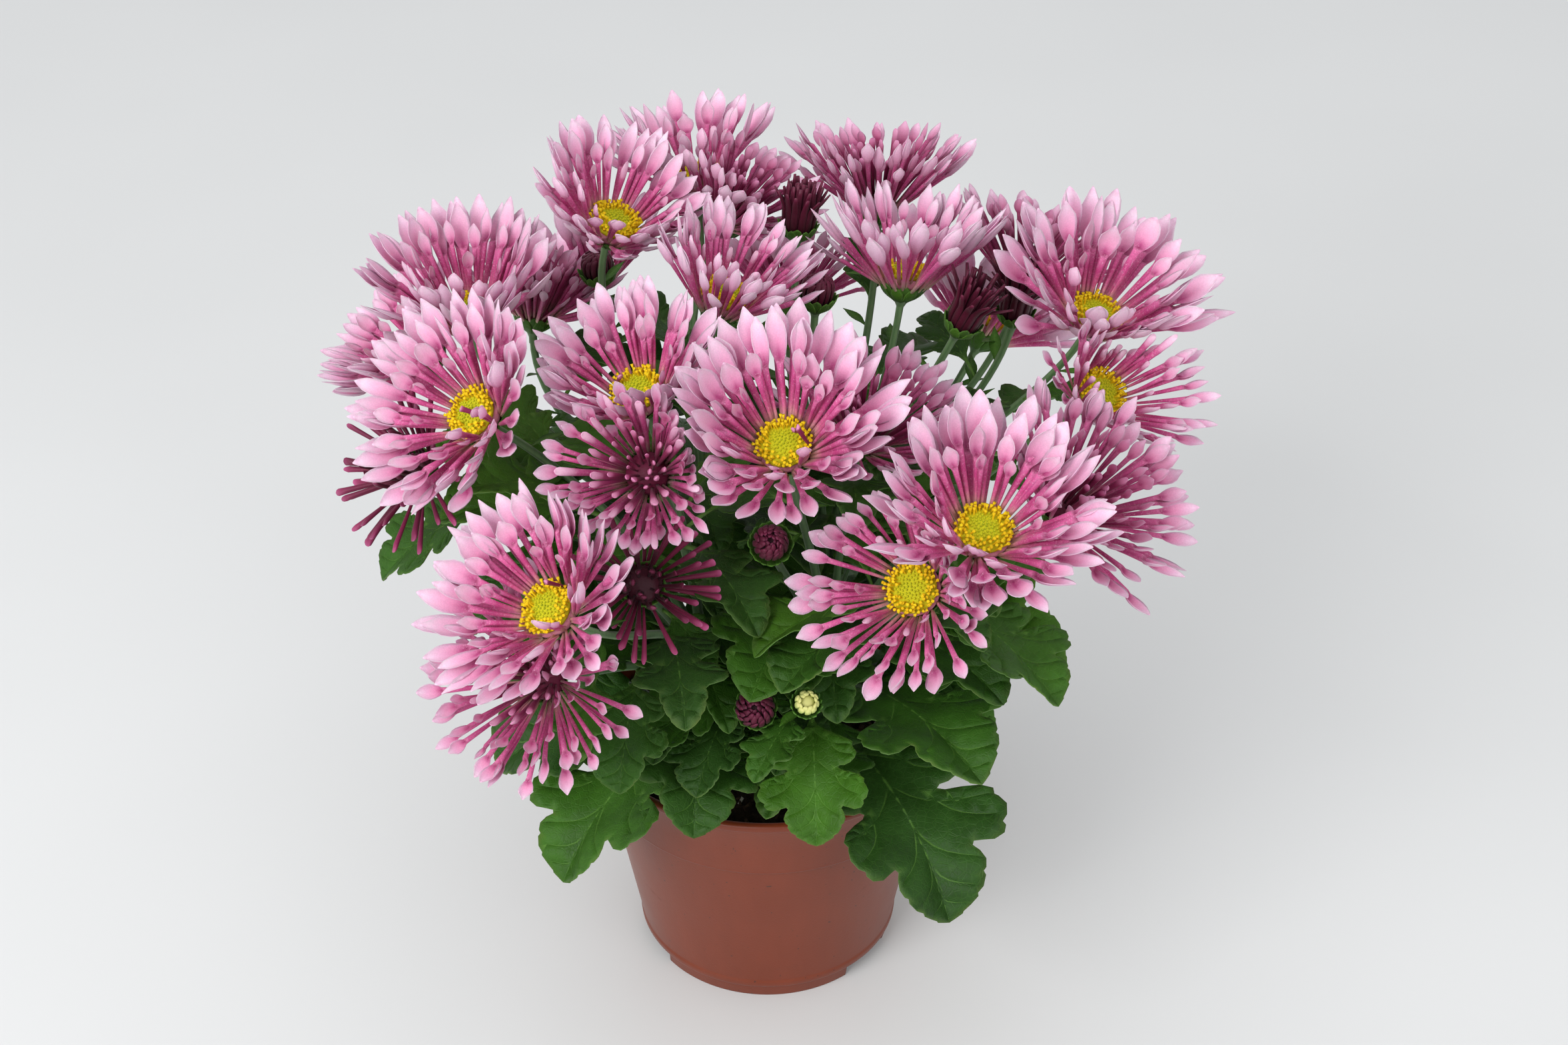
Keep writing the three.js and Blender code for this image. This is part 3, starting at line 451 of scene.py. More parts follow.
def ray(mesh, flower, draw, angle, rise, length, foot, width, mouth, dark, hook=0.0):
    """One ray floret: a tube that opens into a spoon, or only at its tip. hook bends it inwards."""
    out = flower.out(angle)
    along = math.cos(rise) * out + math.sin(rise) * flower.w
    side = np.cross(flower.w, out)
    up = np.cross(along, side)
    curl, sway, twist = draw.uniform(-0.06, 0.1) + hook, draw.gauss(0, 0.04), draw.gauss(0, 0.36)
    spooned = width > NARROWEST_SPOON and flower.kind != "young"
    wide = width / 2 * draw.uniform(0.86, 1.1)
    tube = 0.32 * wide + 0.16 if spooned else wide * 0.72
    mouth = 1 - (1 - mouth) * draw.uniform(0.78, 1.12)
    head = SPOON_ROWS if spooned else QUILL_ROWS
    place = head[:, 0]
    blunted = (place > BLUNTED[0]) & (place < BLUNTED[1])
    blunt = np.where(blunted, draw.uniform(0.72, 1.12), 1)
    half, low, high = np.concatenate([
        np.outer(tube * TUBE_ROWS[:, 1], (1, TUBE_FLATNESS, TUBE_FLATNESS)),
        ((wide if spooned else tube) * blunt)[:, None] * head[:, 1:]]).T
    t = np.concatenate([TUBE_ROWS[:, 0] * mouth, mouth + (1 - mouth) * place])
    bend = curl * t**2 - 0.5 * curl * t
    spine = flower.at(foot, out) + np.outer(t * length, along) + np.outer(bend * length, up)
    spine += np.outer(sway * t**2 * length, side)
    turned = np.outer(np.cos(twist * t), side) + np.outer(np.sin(twist * t), up)
    face = np.outer(np.cos(twist * t), up) - np.outer(np.sin(twist * t), side)
    opened = np.interp(t, (0, mouth, 1), (0, 0.5, 1))[:, None]
    streak = 0.3 * np.array([draw.random() for _ in range(RING)])
    # The third tone is how far into a spoon's hollow a point lies; the petal finish paints shade there.
    tone = tones((len(t), RING), opened, 0.7 * draw.random() + streak,
                 (high < 0)[:, None] * BLADE_FACE, dark)
    sweep(mesh, spine, turned, half, low, high, tone, up=face)


SHARES = np.arange(1, 0.3, -0.05)       # how much of its length a petal may keep
LIFTS = (0, 8, 16)                      # degrees by which it may be pushed up
STEEPEST = math.radians(70)             # but not beyond this
PROBE_PLACES = np.array([0.3, 0.5, 0.65, 0.8, 0.9, 1.0])    # where along it there has to be room
PROBE_WIDTHS = np.array([0.2, 0.35, 0.8, 1, 0.8, 0.1])      # and how much of its width there


def fitted(flower, angles, rises, lengths, widths, feet):
    """Each petal is shortened, and pushed up a little, until it stays on its own flower's side."""
    near, shoots = neighbours(flower), near_shoots(flower)
    shares, risen = np.zeros((2, len(angles)))
    out = flower.out(angles)
    start = flower.at(feet, out)[:, None, :]
    places, spread = PROBE_PLACES[:, None], PROBE_WIDTHS[:, None]
    reach = (spread * widths[:, None, None] / 2) * np.cross(flower.w, out)[:, None, :]
    todo = np.arange(len(angles))
    for share, lift in itertools.product(SHARES, LIFTS):
        rise = np.maximum(rises, np.minimum(rises + math.radians(lift), STEEPEST))
        along = np.cos(rise)[:, None] * out + np.sin(rise)[:, None] * flower.w
        middle = start + places * share * lengths[:, None, None] * along[:, None, :]
        points = np.concatenate([middle, middle + reach, middle - reach], axis=1)
        held = clear_of(points[todo], flower, near, shoots).all(axis=1)
        shares[todo[held]], risen[todo[held]] = share, rise[todo[held]]
        todo = todo[~held]
        if not todo.size:
            break
    return shares, risen


# Dark quills that lean in over a disc: their angle round it, rise and length.
STRAY_RAYS = {
    "bloom_12": [(-0.75, 2.35, 11)],
    "bloom_15": [(-0.2, 1.9, 12), (0.35, 2.15, 9)],
    "bloom_21": [(0.5, 1.8, 11)],
    "bloom_14": [(2.6, 2.1, 8)],
}
STRAY_FORM = ((8.4, -0.8), 2.4, 0.9, 0.9)       # their foot, width, mouth and darkness
CORE_SIDES = 20


def core_of(mesh, flower, tone):
    """The flower's solid middle, which its petals grow from."""
    rings = [(r - 0.3, z) for r, z in CORE[flower.kind]]
    (foot, low), (top, high) = rings[0], rings[-1]
    profile = [(foot * 0.3, low), *rings, (top * 0.4, high + 0.5)]
    mesh.skin(flower.rings(profile, CORE_SIDES), tone)


def bloom(flower):
    """Whorls of ray florets round a core."""
    draw = random.Random(f"{SEED} {flower.name}")
    mesh = Mesh()
    whorls = WHORLS[flower.kind]
    core_of(mesh, flower, (0.12, 0.5, 0, whorls[-1][7]))
    rows = []
    turn = draw.random()
    wider, longer = SPOON_SIZE.get(flower.name, (1, 1))
    reach = flower.reach * GROWN.get(flower.name, 1)
    for count, rise, length, width, mouth, radius, height, dark in whorls:
        turn += 0.5
        for i in range(count):
            rows.append((
                2 * math.pi * (i + turn + draw.gauss(0, 0.24)) / count,
                math.radians(rise + draw.gauss(0, 5)),
                reach * length * (1 - abs(draw.gauss(0, 0.06))),
                width * wider * flower.reach * draw.uniform(0.74, 1.08),
                radius, height + draw.uniform(-0.3, 0.3),
                1 - (1 - mouth) * longer, dark + draw.uniform(-0.06, 0.08),
            ))
    table = np.array(rows)
    shares, risen = fitted(flower, *table[:, :4].T, table[:, 4:6])
    for (angle, _, length, width, *foot, mouth, dark), share, rise in zip(rows, shares, risen):
        if share > 0:
            hook = 0.5 if flower.kind == "young" and dark > 0.85 else 0
            width *= 0.55 + 0.45 * share
            ray(mesh, flower, draw, angle, rise, length * share, foot, width, mouth, dark, hook)
    for angle, rise, length in STRAY_RAYS.get(flower.name, []):
        ray(mesh, flower, draw, angle, rise, length, *STRAY_FORM)
    return mesh


# Layers of quills in a bud, outermost first: how many, girth, and radius and height of the tips.
BUD_LAYERS = {
    "small_bud": [(9, 3.5, 2.5, 2.2), (9, 2.9, 2.0, 2.7)],
    "round": [(14, 5.5, 4.0, 4.2), (12, 4.8, 3.0, 5.2), (9, 3.7, 2.0, 5.7), (6, 2.4, 0.9, 5.5)],
    "tall": [(13, 5.6, 8, 0.78), (12, 5, 6, 0.92), (9, 4.1, 4.1, 0.98), (6, 2.8, 2.2, 0.94)],
}
TALL_BUD = 10               # from this reach on, a bud's quills have begun to stand up
OPENING_BUD = 14            # and from this reach on, to spread
ROUND_BUD = 7.5             # the reach that the rounder layers are given for
BUD_ROWS = 10
# Half widths along a quill of a bud that has begun to stand up, and of a rounder one.
TALL_QUILL = (0.9, 1.2, 1.25, 1.15, 1.0, 0.55)
ROUND_QUILL = (0.55, 0.8, 1.0, 1.05, 0.95, 0.5)


def bud(flower):
    """Closed buds are brushes of incurved quills. The larger ones have begun to stand up."""
    draw = random.Random(f"{SEED} {flower.name}")
    mesh = Mesh()
    foot, low = CORE[flower.kind][0]
    tall, small = flower.reach > TALL_BUD, flower.kind == "small_bud"
    core_of(mesh, flower, (1 if small else 0.12, 0.5, 0, 1))
    layers = BUD_LAYERS["small_bud" if small else "tall" if tall else "round"]
    grown = 1 if small else (flower.reach / OPENING_BUD) ** 2 if tall else flower.reach / ROUND_BUD
    twist = 0.1 if tall else 0.05 if small else 0.3
    steps, fine = np.linspace(0, 1, len(TALL_QUILL)), np.linspace(0, 1, BUD_ROWS)
    half = np.interp(fine, steps, TALL_QUILL if tall else ROUND_QUILL)
    for layer, (count, girth, tip, peak) in enumerate(layers):
        for i in range(count):
            angle = 2 * math.pi * (i + 0.5 * layer + draw.gauss(0, 0.1)) / count
            end = tip * draw.uniform(0.78, 1.22) * grown
            if tall:
                high = (2 + 0.9 * flower.reach) * peak * draw.uniform(0.84, 1.03)
                path = [(4.1, -4.1), (girth * 0.93, -1), (girth, 2.5), (girth + 0.3, 5.5),
                        ((girth + end) / 2, high * 0.72), (end, high)]
            else:
                high = peak * draw.uniform(0.88, 1.06) * grown
                wide = girth * grown
                path = [(foot * 0.9, low + 0.4), (wide * 0.95, low * 0.4), (wide, high * 0.25),
                        (wide * 0.95, high * 0.62), ((wide + end) / 2, high * 0.9), (end, high)]
            out = flower.out(angle + twist * steps**2)
            spine = smooth_line(flower.at(path, out), fine)
            side = unit(np.cross(flower.w, smooth_line(out, fine)))
            each = 0.7 * draw.random() + 0.3 * np.array([draw.random() for _ in range(RING)])
            tone = tones((BUD_ROWS, RING), fine[:, None] * (0.8 if tall else 0.95), each, 0,
                         1 - 0.08 * fine[:, None] ** 3)
            sweep(mesh, spine, side, half, half * 0.45, half * 0.6, tone)
    return mesh


def smooth_line(points, t):
    """Catmull-Rom through the points, at shares t of its length in steps."""
    points = np.asarray(points, float)
    last = len(points) - 1
    padded = np.vstack([2 * points[0] - points[1], points, 2 * points[-1] - points[-2]])
    place = np.clip(np.asarray(t) * last, 0, last - 1e-9)
    i = place.astype(int)
    f = (place - i)[:, None]
    a, b, c, d = (padded[i + k] for k in range(4))
    return 0.5 * (2 * b + (c - a) * f + (2 * a - 5 * b + 4 * c - d) * f**2
                  + (3 * b - a - 3 * c + d) * f**3)


# ---- discs ----

DISC_FLORETS = 170
DISC_SIDES = 24
DISC_RINGS = np.array([0.97, 0.8, 0.6, 0.4, 0.2])       # radii over the disc's
FLORET_SIDES = 5
# Rows of an open floret and of a closed one: height, radius over the floret's size, and pollen.
OPEN_FLORET = np.array([(0, 0.6, 0), (1.0, 0.75, 0.4), (1.55, 1.35, 1), (1.35, 0.35, 0.5)])
SHUT_FLORET = np.array([(0, 0.9, 0), (0.55, 1.0, 0.2), (0.95, 0.6, 0.4), (1.02, 0.1, 0.5)])


def dome(radius):
    """How high a disc rises at this radius."""
    return 2.3 * (1 - (radius / (DISC_RADIUS + 0.6)) ** 2)


def disc(flower):
    """A low dome of small five-sided florets, set in a spiral, that open from the edge inwards."""
    draw = random.Random(f"{SEED} disc {flower.name}")
    mesh = Mesh()
    radii = DISC_RADIUS * DISC_RINGS
    profile = [(DISC_RADIUS - 0.5, -0.7), *zip(radii, dome(radii))]
    mesh.skin(flower.rings(profile, DISC_SIDES), PLAIN)
    ripe = 0.54 + 0.16 * draw.random()
    for i in range(DISC_FLORETS):
        share = math.sqrt((i + 0.5) / DISC_FLORETS)
        radius = radii[0] * share
        is_open = share > ripe + draw.gauss(0, 0.07)
        out = flower.out(GOLDEN * i)
        base = flower.at((radius, dome(radius) - 0.2), out)
        sway = 0.22 if is_open else 0.12
        lean = unit(flower.w + out * (0.5 * share + draw.gauss(0, sway))
                    + np.cross(flower.w, out) * draw.gauss(0, sway))
        side = unit(np.cross(lean, out + 0.01 * flower.w))
        size = 0.42 if is_open else 0.36 + 0.1 * share
        tall = draw.uniform(0.9, 2.0) if is_open else draw.uniform(0.6, 0.9)
        height, wide, tip = (OPEN_FLORET if is_open else SHUT_FLORET).T[:, :, None]
        angles = circle(FLORET_SIDES) + draw.random()
        wheel = np.outer(np.cos(angles), side) + np.outer(np.sin(angles), np.cross(side, lean))
        points = base + (height * tall * lean)[:, None, :] + (size * wide)[:, :, None] * wheel
        age = 0.75 + 0.25 * draw.random() if is_open else 0.08 + 0.45 * share
        mesh.skin(points, tones(points.shape[:2], age, draw.random(), tip, 0), ends=1)
    return mesh


# ---- shoots, cups and leaves ----

STEM, GREEN = 0, 1


def tube(mesh, spine, radii, tone, ribs=0.05):
    """A stem or shoot, with ribs that stand out by this share of its radius."""
    along = unit(np.gradient(spine, axis=0))
    side = unit(np.cross([0.93, 0.37, 0.05], along))
    up = np.cross(along, side)
    ridged = np.tile([1 + ribs, 1 - ribs], RING // 2)
    ring = (np.cos(RING_ANGLES)[:, None] * side[:, None, :]
            + np.sin(RING_ANGLES)[:, None] * up[:, None, :])
    points = spine[:, None, :] + radii[:, None, None] * ridged[:, None] * ring
    place = np.linspace(0, 1, len(spine))[:, None]
    mesh.skin(points, tones(points.shape[:2], place, tone, ridged > 1, 0), STEM)


SCALES = 8
SCALE_RINGS = 2
SCALE_HALF = np.array([0.9, 1.7, 2.2, 2.15, 1.5, 0.15])     # half widths along a scale
SCALE_THICK = 0.25          # half its thickness


def cup(mesh, flower, draw):
    """The green cup under a flower: overlapping scales that hug its core."""
    (r0, z0), (r1, z1) = CORE[flower.kind][:2]
    size = min(1, r0 / 5)
    if flower.closed:
        r1, z1 = r0 * 1.4, z0 + 3.1 * size
    steps = len(SCALE_HALF)
    for ring in range(SCALE_RINGS):
        for i in range(SCALES):
            out = flower.out(2 * math.pi * (i + 0.5 * ring + draw.gauss(0, 0.06)) / SCALES)
            grow = (1.0, 0.7)[ring] * draw.uniform(0.9, 1.08)
            off = (0.35 + 0.3 * ring) * size
            r, z = r0 + (r1 - r0) * grow + off, z0 + (z1 - z0) * grow
            path = [(1.6 * size, z0 - 3.4 - 0.2 * ring), (r0 * 0.85 + off, z0 - 1.4 * size),
                    (r0 + 0.3 + off, z0 - 0.2), (r, z), (r + 0.5, z + 1.1)]
            spine = smooth_line(flower.at(path, out), np.linspace(0, 1, steps))
            ridge = 0.35 + 0.5 * np.abs(np.cos(RING_ANGLES)) ** 6
            sweep(mesh, spine, np.cross(flower.w, out), size * SCALE_HALF, SCALE_THICK,
                  SCALE_THICK, tones((steps, RING), ridge, draw.random(), 0, 0), GREEN)


def half_outline(form, draw):
    """Half a leaf's outline, a little different each time."""
    phase, size = draw.uniform(0, PHASE), draw.uniform(0.94, 1.04)
    return [(s, y * size * (1 + 0.05 * math.sin(9 * s + phase)) if s > 0.24 else y)
            for s, y in np.array(OUTLINE[form]) / 1000]


# Points along each form's midrib and along its side veins, and how far apart the others lie.
LEAF_GRID = {LARGE: (22, 6, 0.052), SMALL: (14, 4, 0.08)}
STALK_END = 0.2


def flat_leaf(form, draw):
    """A leaf laid flat: points (s, y), triangles, rim, and how much each point is a vein."""
    right, left = half_outline(form, draw), half_outline(form, draw)
    points = [*left, (1.0, 0.0), *((s, -y) for s, y in reversed(right))]
    rim = list(range(len(points)))
    edges, vein = [], {}

    def line(stations, value):
        first = len(points)
        points.extend(stations)
        edges.extend((i, i + 1) for i in range(first, len(points) - 1))
        vein.update((i, value) for i in range(first, len(points)))

    ribs, stops, step = LEAF_GRID[form]
    rib = np.linspace(0.02, 0.985, ribs)
    line([(s, 0.0) for s in rib], 1.0)
    for sign in (1, -1):
        line([(s, sign * (0.0115 * (1.05 - s) + 0.0015)) for s in rib if s > 0.26], 0.0)
        for (s0, y0), (s1, y1) in np.array(VEINS[form]) / 1000:
            reach = draw.uniform(0.84, 0.93)
            along = np.array([(s1 - s0) * reach, sign * (y1 * reach - y0)])
            normal = np.array([-along[1], along[0]]) / np.linalg.norm(along)
            for offset, value in ((0, 0.8), (0.005, 0), (-0.005, 0)):
                t = np.linspace(0.06 if offset else 0, 1, stops)[:, None]
                away = offset * (1.15 - t) - 0.035 * sign * np.sin(math.pi * t)
                line((np.array([s0, sign * y0]) + t * along + normal * away).tolist(), value)
    for i in range(int(1 / step)):
        for j in range(-9, 10):
            s = STALK_END + (i + 0.5 * (j % 2)) * step
            if s < 0.99:
                points.append((s, j * step * 0.9))
    verts, _, faces, origin, *_ = delaunay_2d_cdt([Vector(p) for p in points], edges, [rim], 1, 1e-5)
    used, tris = np.unique(np.array(faces), return_inverse=True)
    tris = tris.reshape(-1, 3)
    flat = np.array([verts[i][:] for i in used])
    veined = np.array([max((vein.get(k, 0.0) for k in origin[i]), default=0.0) for i in used])
    sides = [side for a, b, c in tris.tolist() for side in ((a, b), (b, c), (c, a))]
    inner = set(sides)
    return flat, tris, [(i, j) for i, j in sides if (j, i) not in inner], veined


def leaf_point(leaf, s, across, off):
    """Points on a leaf, as the solids place them: along its midrib, across it, and off its face."""
    _, x, y, z, heading, pitch, length, droop, roll, _ = leaf
    heading, start, bend, roll = np.radians([heading, pitch, droop, roll])
    end = start - bend * s
    run = length * (np.sin(start) - np.sin(end)) / bend
    climb = length * (np.cos(end) - np.cos(start)) / bend
    out = np.array([np.cos(heading), np.sin(heading), 0])
    side = np.array([-out[1], out[0], 0])
    normal = np.outer(-np.sin(end), out) + np.outer(np.cos(end), [0, 0, 1])
    width = side * np.cos(roll) + normal * np.sin(roll)
    upright = normal * np.cos(roll) - side * np.sin(roll)
    wave = LEAF_WAVE * length * np.sin(9 * s) * np.minimum(1, np.abs(across) / 8)
    lift = off + LEAF_FOLD * (np.sqrt(across**2 + 1.5) - 1.22) + wave
    return (np.array([x, y, z]) + np.outer(run, out) + np.outer(climb, [0, 0, 1])
            + width * across[:, None] + upright * lift[:, None])


STALK_THICK, BLADE_THICK = 0.62, 0.16       # half the thickness of a leaf's stalk and of its blade
BLADE_START, BLADE_FLARE = 0.16, 0.14       # where the stalk begins to widen, and over how much
QUILT = 0.0026


def leaf(mesh, row, draw):
    """A lobed leaf with a stalk, raised veins and slightly quilted skin."""
    form, length = row[9], row[6]
    flat, tris, border, vein = flat_leaf(form, draw)
    s, across = flat[:, 0], flat[:, 1] * length
    size, away = len(flat), np.abs(across)
    blade = np.clip((s - BLADE_START) / BLADE_FLARE, 0, 1)
    thick = STALK_THICK + (BLADE_THICK - STALK_THICK) * blade
    quilt = QUILT * length * np.sin(26 * s - 30 * np.abs(flat[:, 1]))
    lift = quilt * np.clip(away / 4, 0, 1) * blade + draw.uniform(-0.5, 0.9) * (away / 12) ** 2
    upper = leaf_point(row, s, across, lift + thick - 0.3 * vein * blade)
    lower = leaf_point(row, s, across, lift - thick - 0.45 * vein * blade)
    age, tint = draw.random() ** 1.4, draw.random()
    rim = 0.6 * np.isin(np.arange(size), border) + 0.3 * tint * np.clip((s - 0.75) * 3, 0, 1)
    walls = [(i + size, j + size, j, i) for i, j in border]
    mesh.add([upper, lower], tones((2, size), vein * blade + 1 - blade, age, [[0], [1]], rim),
             GREEN, tris, tris[:, ::-1] + size, walls)


def coarse_leaf(row):
    """A few triangles in a leaf's place, for finding out what it would cross."""
    s = np.array([0.34, 0.44, 0.44, 0.7, 0.7, 1.0])
    y = np.array([0, -0.26, 0.26, -0.3, 0.3, 0]) * row[6]
    points = leaf_point(row, s, y, np.zeros(6))
    return points, [(0, 1, 2), (1, 3, 2), (2, 3, 4), (3, 5, 4)]


def tree_of(points, faces):
    return BVHTree.FromPolygons([Vector(p) for p in points], [tuple(f) for f in faces])


CLOSED_RISE = 1.1           # of the cone under a bud, in radians
CONE_RADIUS, CONE_FOOT = 1, -6


def solids_tree():
    """The solids, in mm, and a plain cone under each flower's outer petals."""
    solids = Mesh()
    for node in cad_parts.values():
        node.data.calc_loop_triangles()
        triangles = [triangle.vertices[:] for triangle in node.data.loop_triangles]
        solids.add([vertex.co / MM for vertex in node.data.vertices], PLAIN, 0, triangles)
    for flower in flowers:
        rise = CLOSED_RISE if flower.closed else math.radians(WHORLS[flower.kind][0][1] - 3)
        cone = [(CONE_RADIUS + reach * math.cos(rise), CONE_FOOT + reach * math.sin(rise))
                for reach in (7, flower.reach * 0.97)]
        solids.skin(flower.rings(cone, CORE_SIDES), PLAIN, ends=0)
    return tree_of(np.concatenate(solids.points), solids.faces)


TIP_ERROR = 0.1


def solid_leaves():
    """The leaves that the plants' solids hold: each plan at the turn and tilt that it got there,
    which shows in the place of its tip."""
    plans = []
    named = {flower.name: flower for flower in flowers}
    for i, (carrier, at, heading, *shape) in enumerate(LARGE_LEAVES):
        if carrier in named:
            cutting, foot = named[carrier].cutting, named[carrier].bezier([at])[0]
        else:
            cutting, foot = carrier, (*CUTTINGS[carrier], at)
        plans.append((cutting, foot, heading, *shape, i, LARGE))
    for i, flower in enumerate(flower for flower in flowers if not flower.closed):
        at, *shape = SHOOT_LEAVES[i % 2]
        plans.append((flower.cutting, flower.bezier([at])[0], GOLDEN_TURN * i, *shape, i, SMALL))
    plants = [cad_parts[f"plant_{i + 1}"].data.vertices for i in range(len(CUTTINGS))]
    corners = [np.array([vertex.co / MM for vertex in plant]) for plant in plants]
    found = []
    for cutting, foot, heading, pitch, length, droop, i, form in plans:
        roll = ROLL[form][0] * math.sin(ROLL[form][1] * i)
        for turn, tilt in itertools.product(TURNS[form], TILTS):
            row = (cutting, *foot, heading + turn, pitch + tilt, length, droop, roll, form)
            ends = leaf_point(row, np.ones(2), np.zeros(2), np.array([0.5, -0.5]) * SOLID_LEAF)
            away = np.linalg.norm(corners[cutting][:, None, :] - ends, axis=-1).min(axis=0)
            if away.max() < TIP_ERROR:
                found.append(row)
                break
    return found


FILL_TRIES = 9
FILL_TURN, FILL_ROLL = 80, 16                   # how far a leaf may turn and roll, in degrees
FILL_RISES, FILL_DROOPS = (10, 55), (40, 80)
FILL_BOTTOM = 93            # none hangs below this height
FILL_PLACES = (0.12, 0.26, 0.4, 0.56, 0.72)     # along a shoot
FILL_HEIGHT = (108, 215)
FILL_LENGTHS = (30, 56)
FILL_LIMIT = (92, 0.12)     # how far out from the pot's axis, and its growth with height
LOW_FILL_HEIGHTS = (100, 105, 110, 116, 122, 130, 138)
LOW_FILL_LIMIT = 80
LOW_FILL_LENGTHS = (38, 58)
# A leaf that closes a slit between the shoots: its flower, its place along that shoot, heading,
# rise, length, droop and roll.
SLIT_LEAF = ("bloom_17", 0.82, -89, 52, 50, 69, -5)


def filling_leaves():
    """More leaves among the shoots, wherever one fits between what is there."""
    draw = random.Random(SEED)
    obstacles = [solids_tree()]
    found = []

    def fill(cutting, foot, limit, heading, lengths):
        for _ in range(FILL_TRIES):
            row = (cutting, *foot, heading + draw.uniform(-FILL_TURN, FILL_TURN),
                   draw.uniform(*FILL_RISES), draw.uniform(*lengths), draw.uniform(*FILL_DROOPS),
                   draw.uniform(-FILL_ROLL, FILL_ROLL), SMALL)
            points, faces = coarse_leaf(row)
            if np.hypot(points[:, 0], points[:, 1]).max() > limit or points[:, 2].min() < FILL_BOTTOM:
                continue
            own = tree_of(points, faces)
            if not any(own.overlap(other) for other in obstacles):
                obstacles.append(own)
                found.append(row)
                return

    for cutting, (x, y) in enumerate(CUTTINGS):
        for height in LOW_FILL_HEIGHTS:
            outward = math.degrees(math.atan2(y, x))
            fill(cutting, (x, y, height), LOW_FILL_LIMIT, outward, LOW_FILL_LENGTHS)
    for flower in flowers:
        for foot in flower.bezier(FILL_PLACES):
            if FILL_HEIGHT[0] < foot[2] < FILL_HEIGHT[1]:
                limit = FILL_LIMIT[0] + FILL_LIMIT[1] * foot[2]
                fill(flower.cutting, foot, limit, draw.uniform(-180, 180), FILL_LENGTHS)
    name, place, *shape = SLIT_LEAF
    flower = next(flower for flower in flowers if flower.name == name)
    found.append((flower.cutting, *flower.bezier([place])[0], *shape, SMALL))
    return found


BRACT_HALF = np.array([0.03, 0.035, 0.07, 0.125, 0.15, 0.14, 0.1, 0.05, 0.004])


def bract(mesh, foot, way, length, draw):
    """A small plain leaf high on a shoot."""
    side = unit(np.cross([0, 0, 1], way))
    t = np.linspace(0, 1, len(BRACT_HALF))
    spine = foot + np.outer(t * length, way) - np.outer(0.28 * length * t**2, np.cross(way, side))
    half = length * BRACT_HALF
    tone = tones((len(t), RING), 0.6 * (BLADE_FACE == 1), draw.random(), 0, 0)
    sweep(mesh, spine, side, half, half * 0.1 + 0.12, half * -0.16 + 0.1, tone, GREEN)


STEM_ROWS = 26
STEM_RADIUS = 2.8
BRACT_PLACES = (0.7, 0.84)


def plant(index, leaves):
    """A cutting's stem, its shoots with their cups and bracts, and its leaves."""
    draw = random.Random(f"{SEED} plant {index}")
    mesh = Mesh()
    own = [flower for flower in flowers if flower.cutting == index]
    x, y = CUTTINGS[index]
    top = max(flower.shoot[0][2] for flower in own) + 3
    heights = np.linspace(STEM_ROOT, top, STEM_ROWS)
    wander = 0.35 * np.sin(heights * 0.31 + index)
    spine = np.stack([x + wander, y + 0.3 * np.cos(heights * 0.23), heights], axis=1)
    neck = CROWN - 4
    radii = STEM_RADIUS - 0.6 * np.maximum(0, heights - neck) / (top - neck)
    tube(mesh, spine, radii + 0.15 * (np.arange(STEM_ROWS) % 6 == 0), 1.0, ribs=0.04)
    for flower in own:
        t = np.linspace(0, 1, STEM_ROWS)
        thick = 1.25 + 0.75 * (1 - t) ** 3 + 0.35 * np.exp(-((t - 1) / 0.03) ** 2)
        base = CORE[flower.kind][0][0]
        tube(mesh, flower.bezier(t), thick, draw.uniform(0, 0.5))
        radii, below = np.array([(0.9, -7.2), (1.25, -5.0), (0.4 * base, -3.4),
                                 (0.75 * base, -2.0), (0.9 * base, -0.6)]).T
        tube(mesh, flower.shoot[3] + np.outer(below, flower.w), radii, 0.3, ribs=0.02)
        cup(mesh, flower, draw)
        for foot in flower.bezier(BRACT_PLACES):
            heading, rise = draw.uniform(0, 2 * math.pi), draw.uniform(0.3, 0.9)
            way = np.array([math.cos(heading) * math.cos(rise), math.sin(heading) * math.cos(rise),
                            math.sin(rise)])
            bract(mesh, foot, way, draw.uniform(8, 15), draw)
    for row in leaves:
        if row[0] == index:
            leaf(mesh, row, draw)
    return mesh


# ---- pot and peat ----


def revolve(profile, angles, lift):
    """A skin of this profile round the pot's axis, with its points at the heights that lift gives."""
    mesh = Mesh()
    radius, height = np.asarray(profile, float).T[:, :, None]
    radius, height, angle = np.broadcast_arrays(radius, height, angles)
    height = lift(radius, height, angle)
    mesh.skin(np.stack([radius * np.cos(angle), radius * np.sin(angle), height], axis=-1), PLAIN)
    return mesh


ROUNDING = 0.55
ARC = np.linspace(0, 1, 3)[:, None]


def rounded(points):
    """The profile with each corner drawn as a small arc."""
    points = np.asarray(points, float)
    result = [points[:1]]
    for before, corner, after in zip(points[:-2], points[1:-1], points[2:]):
        a, b = before - corner, after - corner
        cut = min(ROUNDING, 0.45 * np.linalg.norm(a), 0.45 * np.linalg.norm(b))
        start, end = corner + cut * unit(a), corner + cut * unit(b)
        result.append((1 - ARC) ** 2 * start + 2 * ARC * (1 - ARC) * corner + ARC**2 * end)
    return np.concatenate([*result, points[-1:]])


POT_STEP = 1.8              # degrees between the pot's sides
GAP_EDGE = 0.4              # and on either side of where a gap in its foot begins or ends


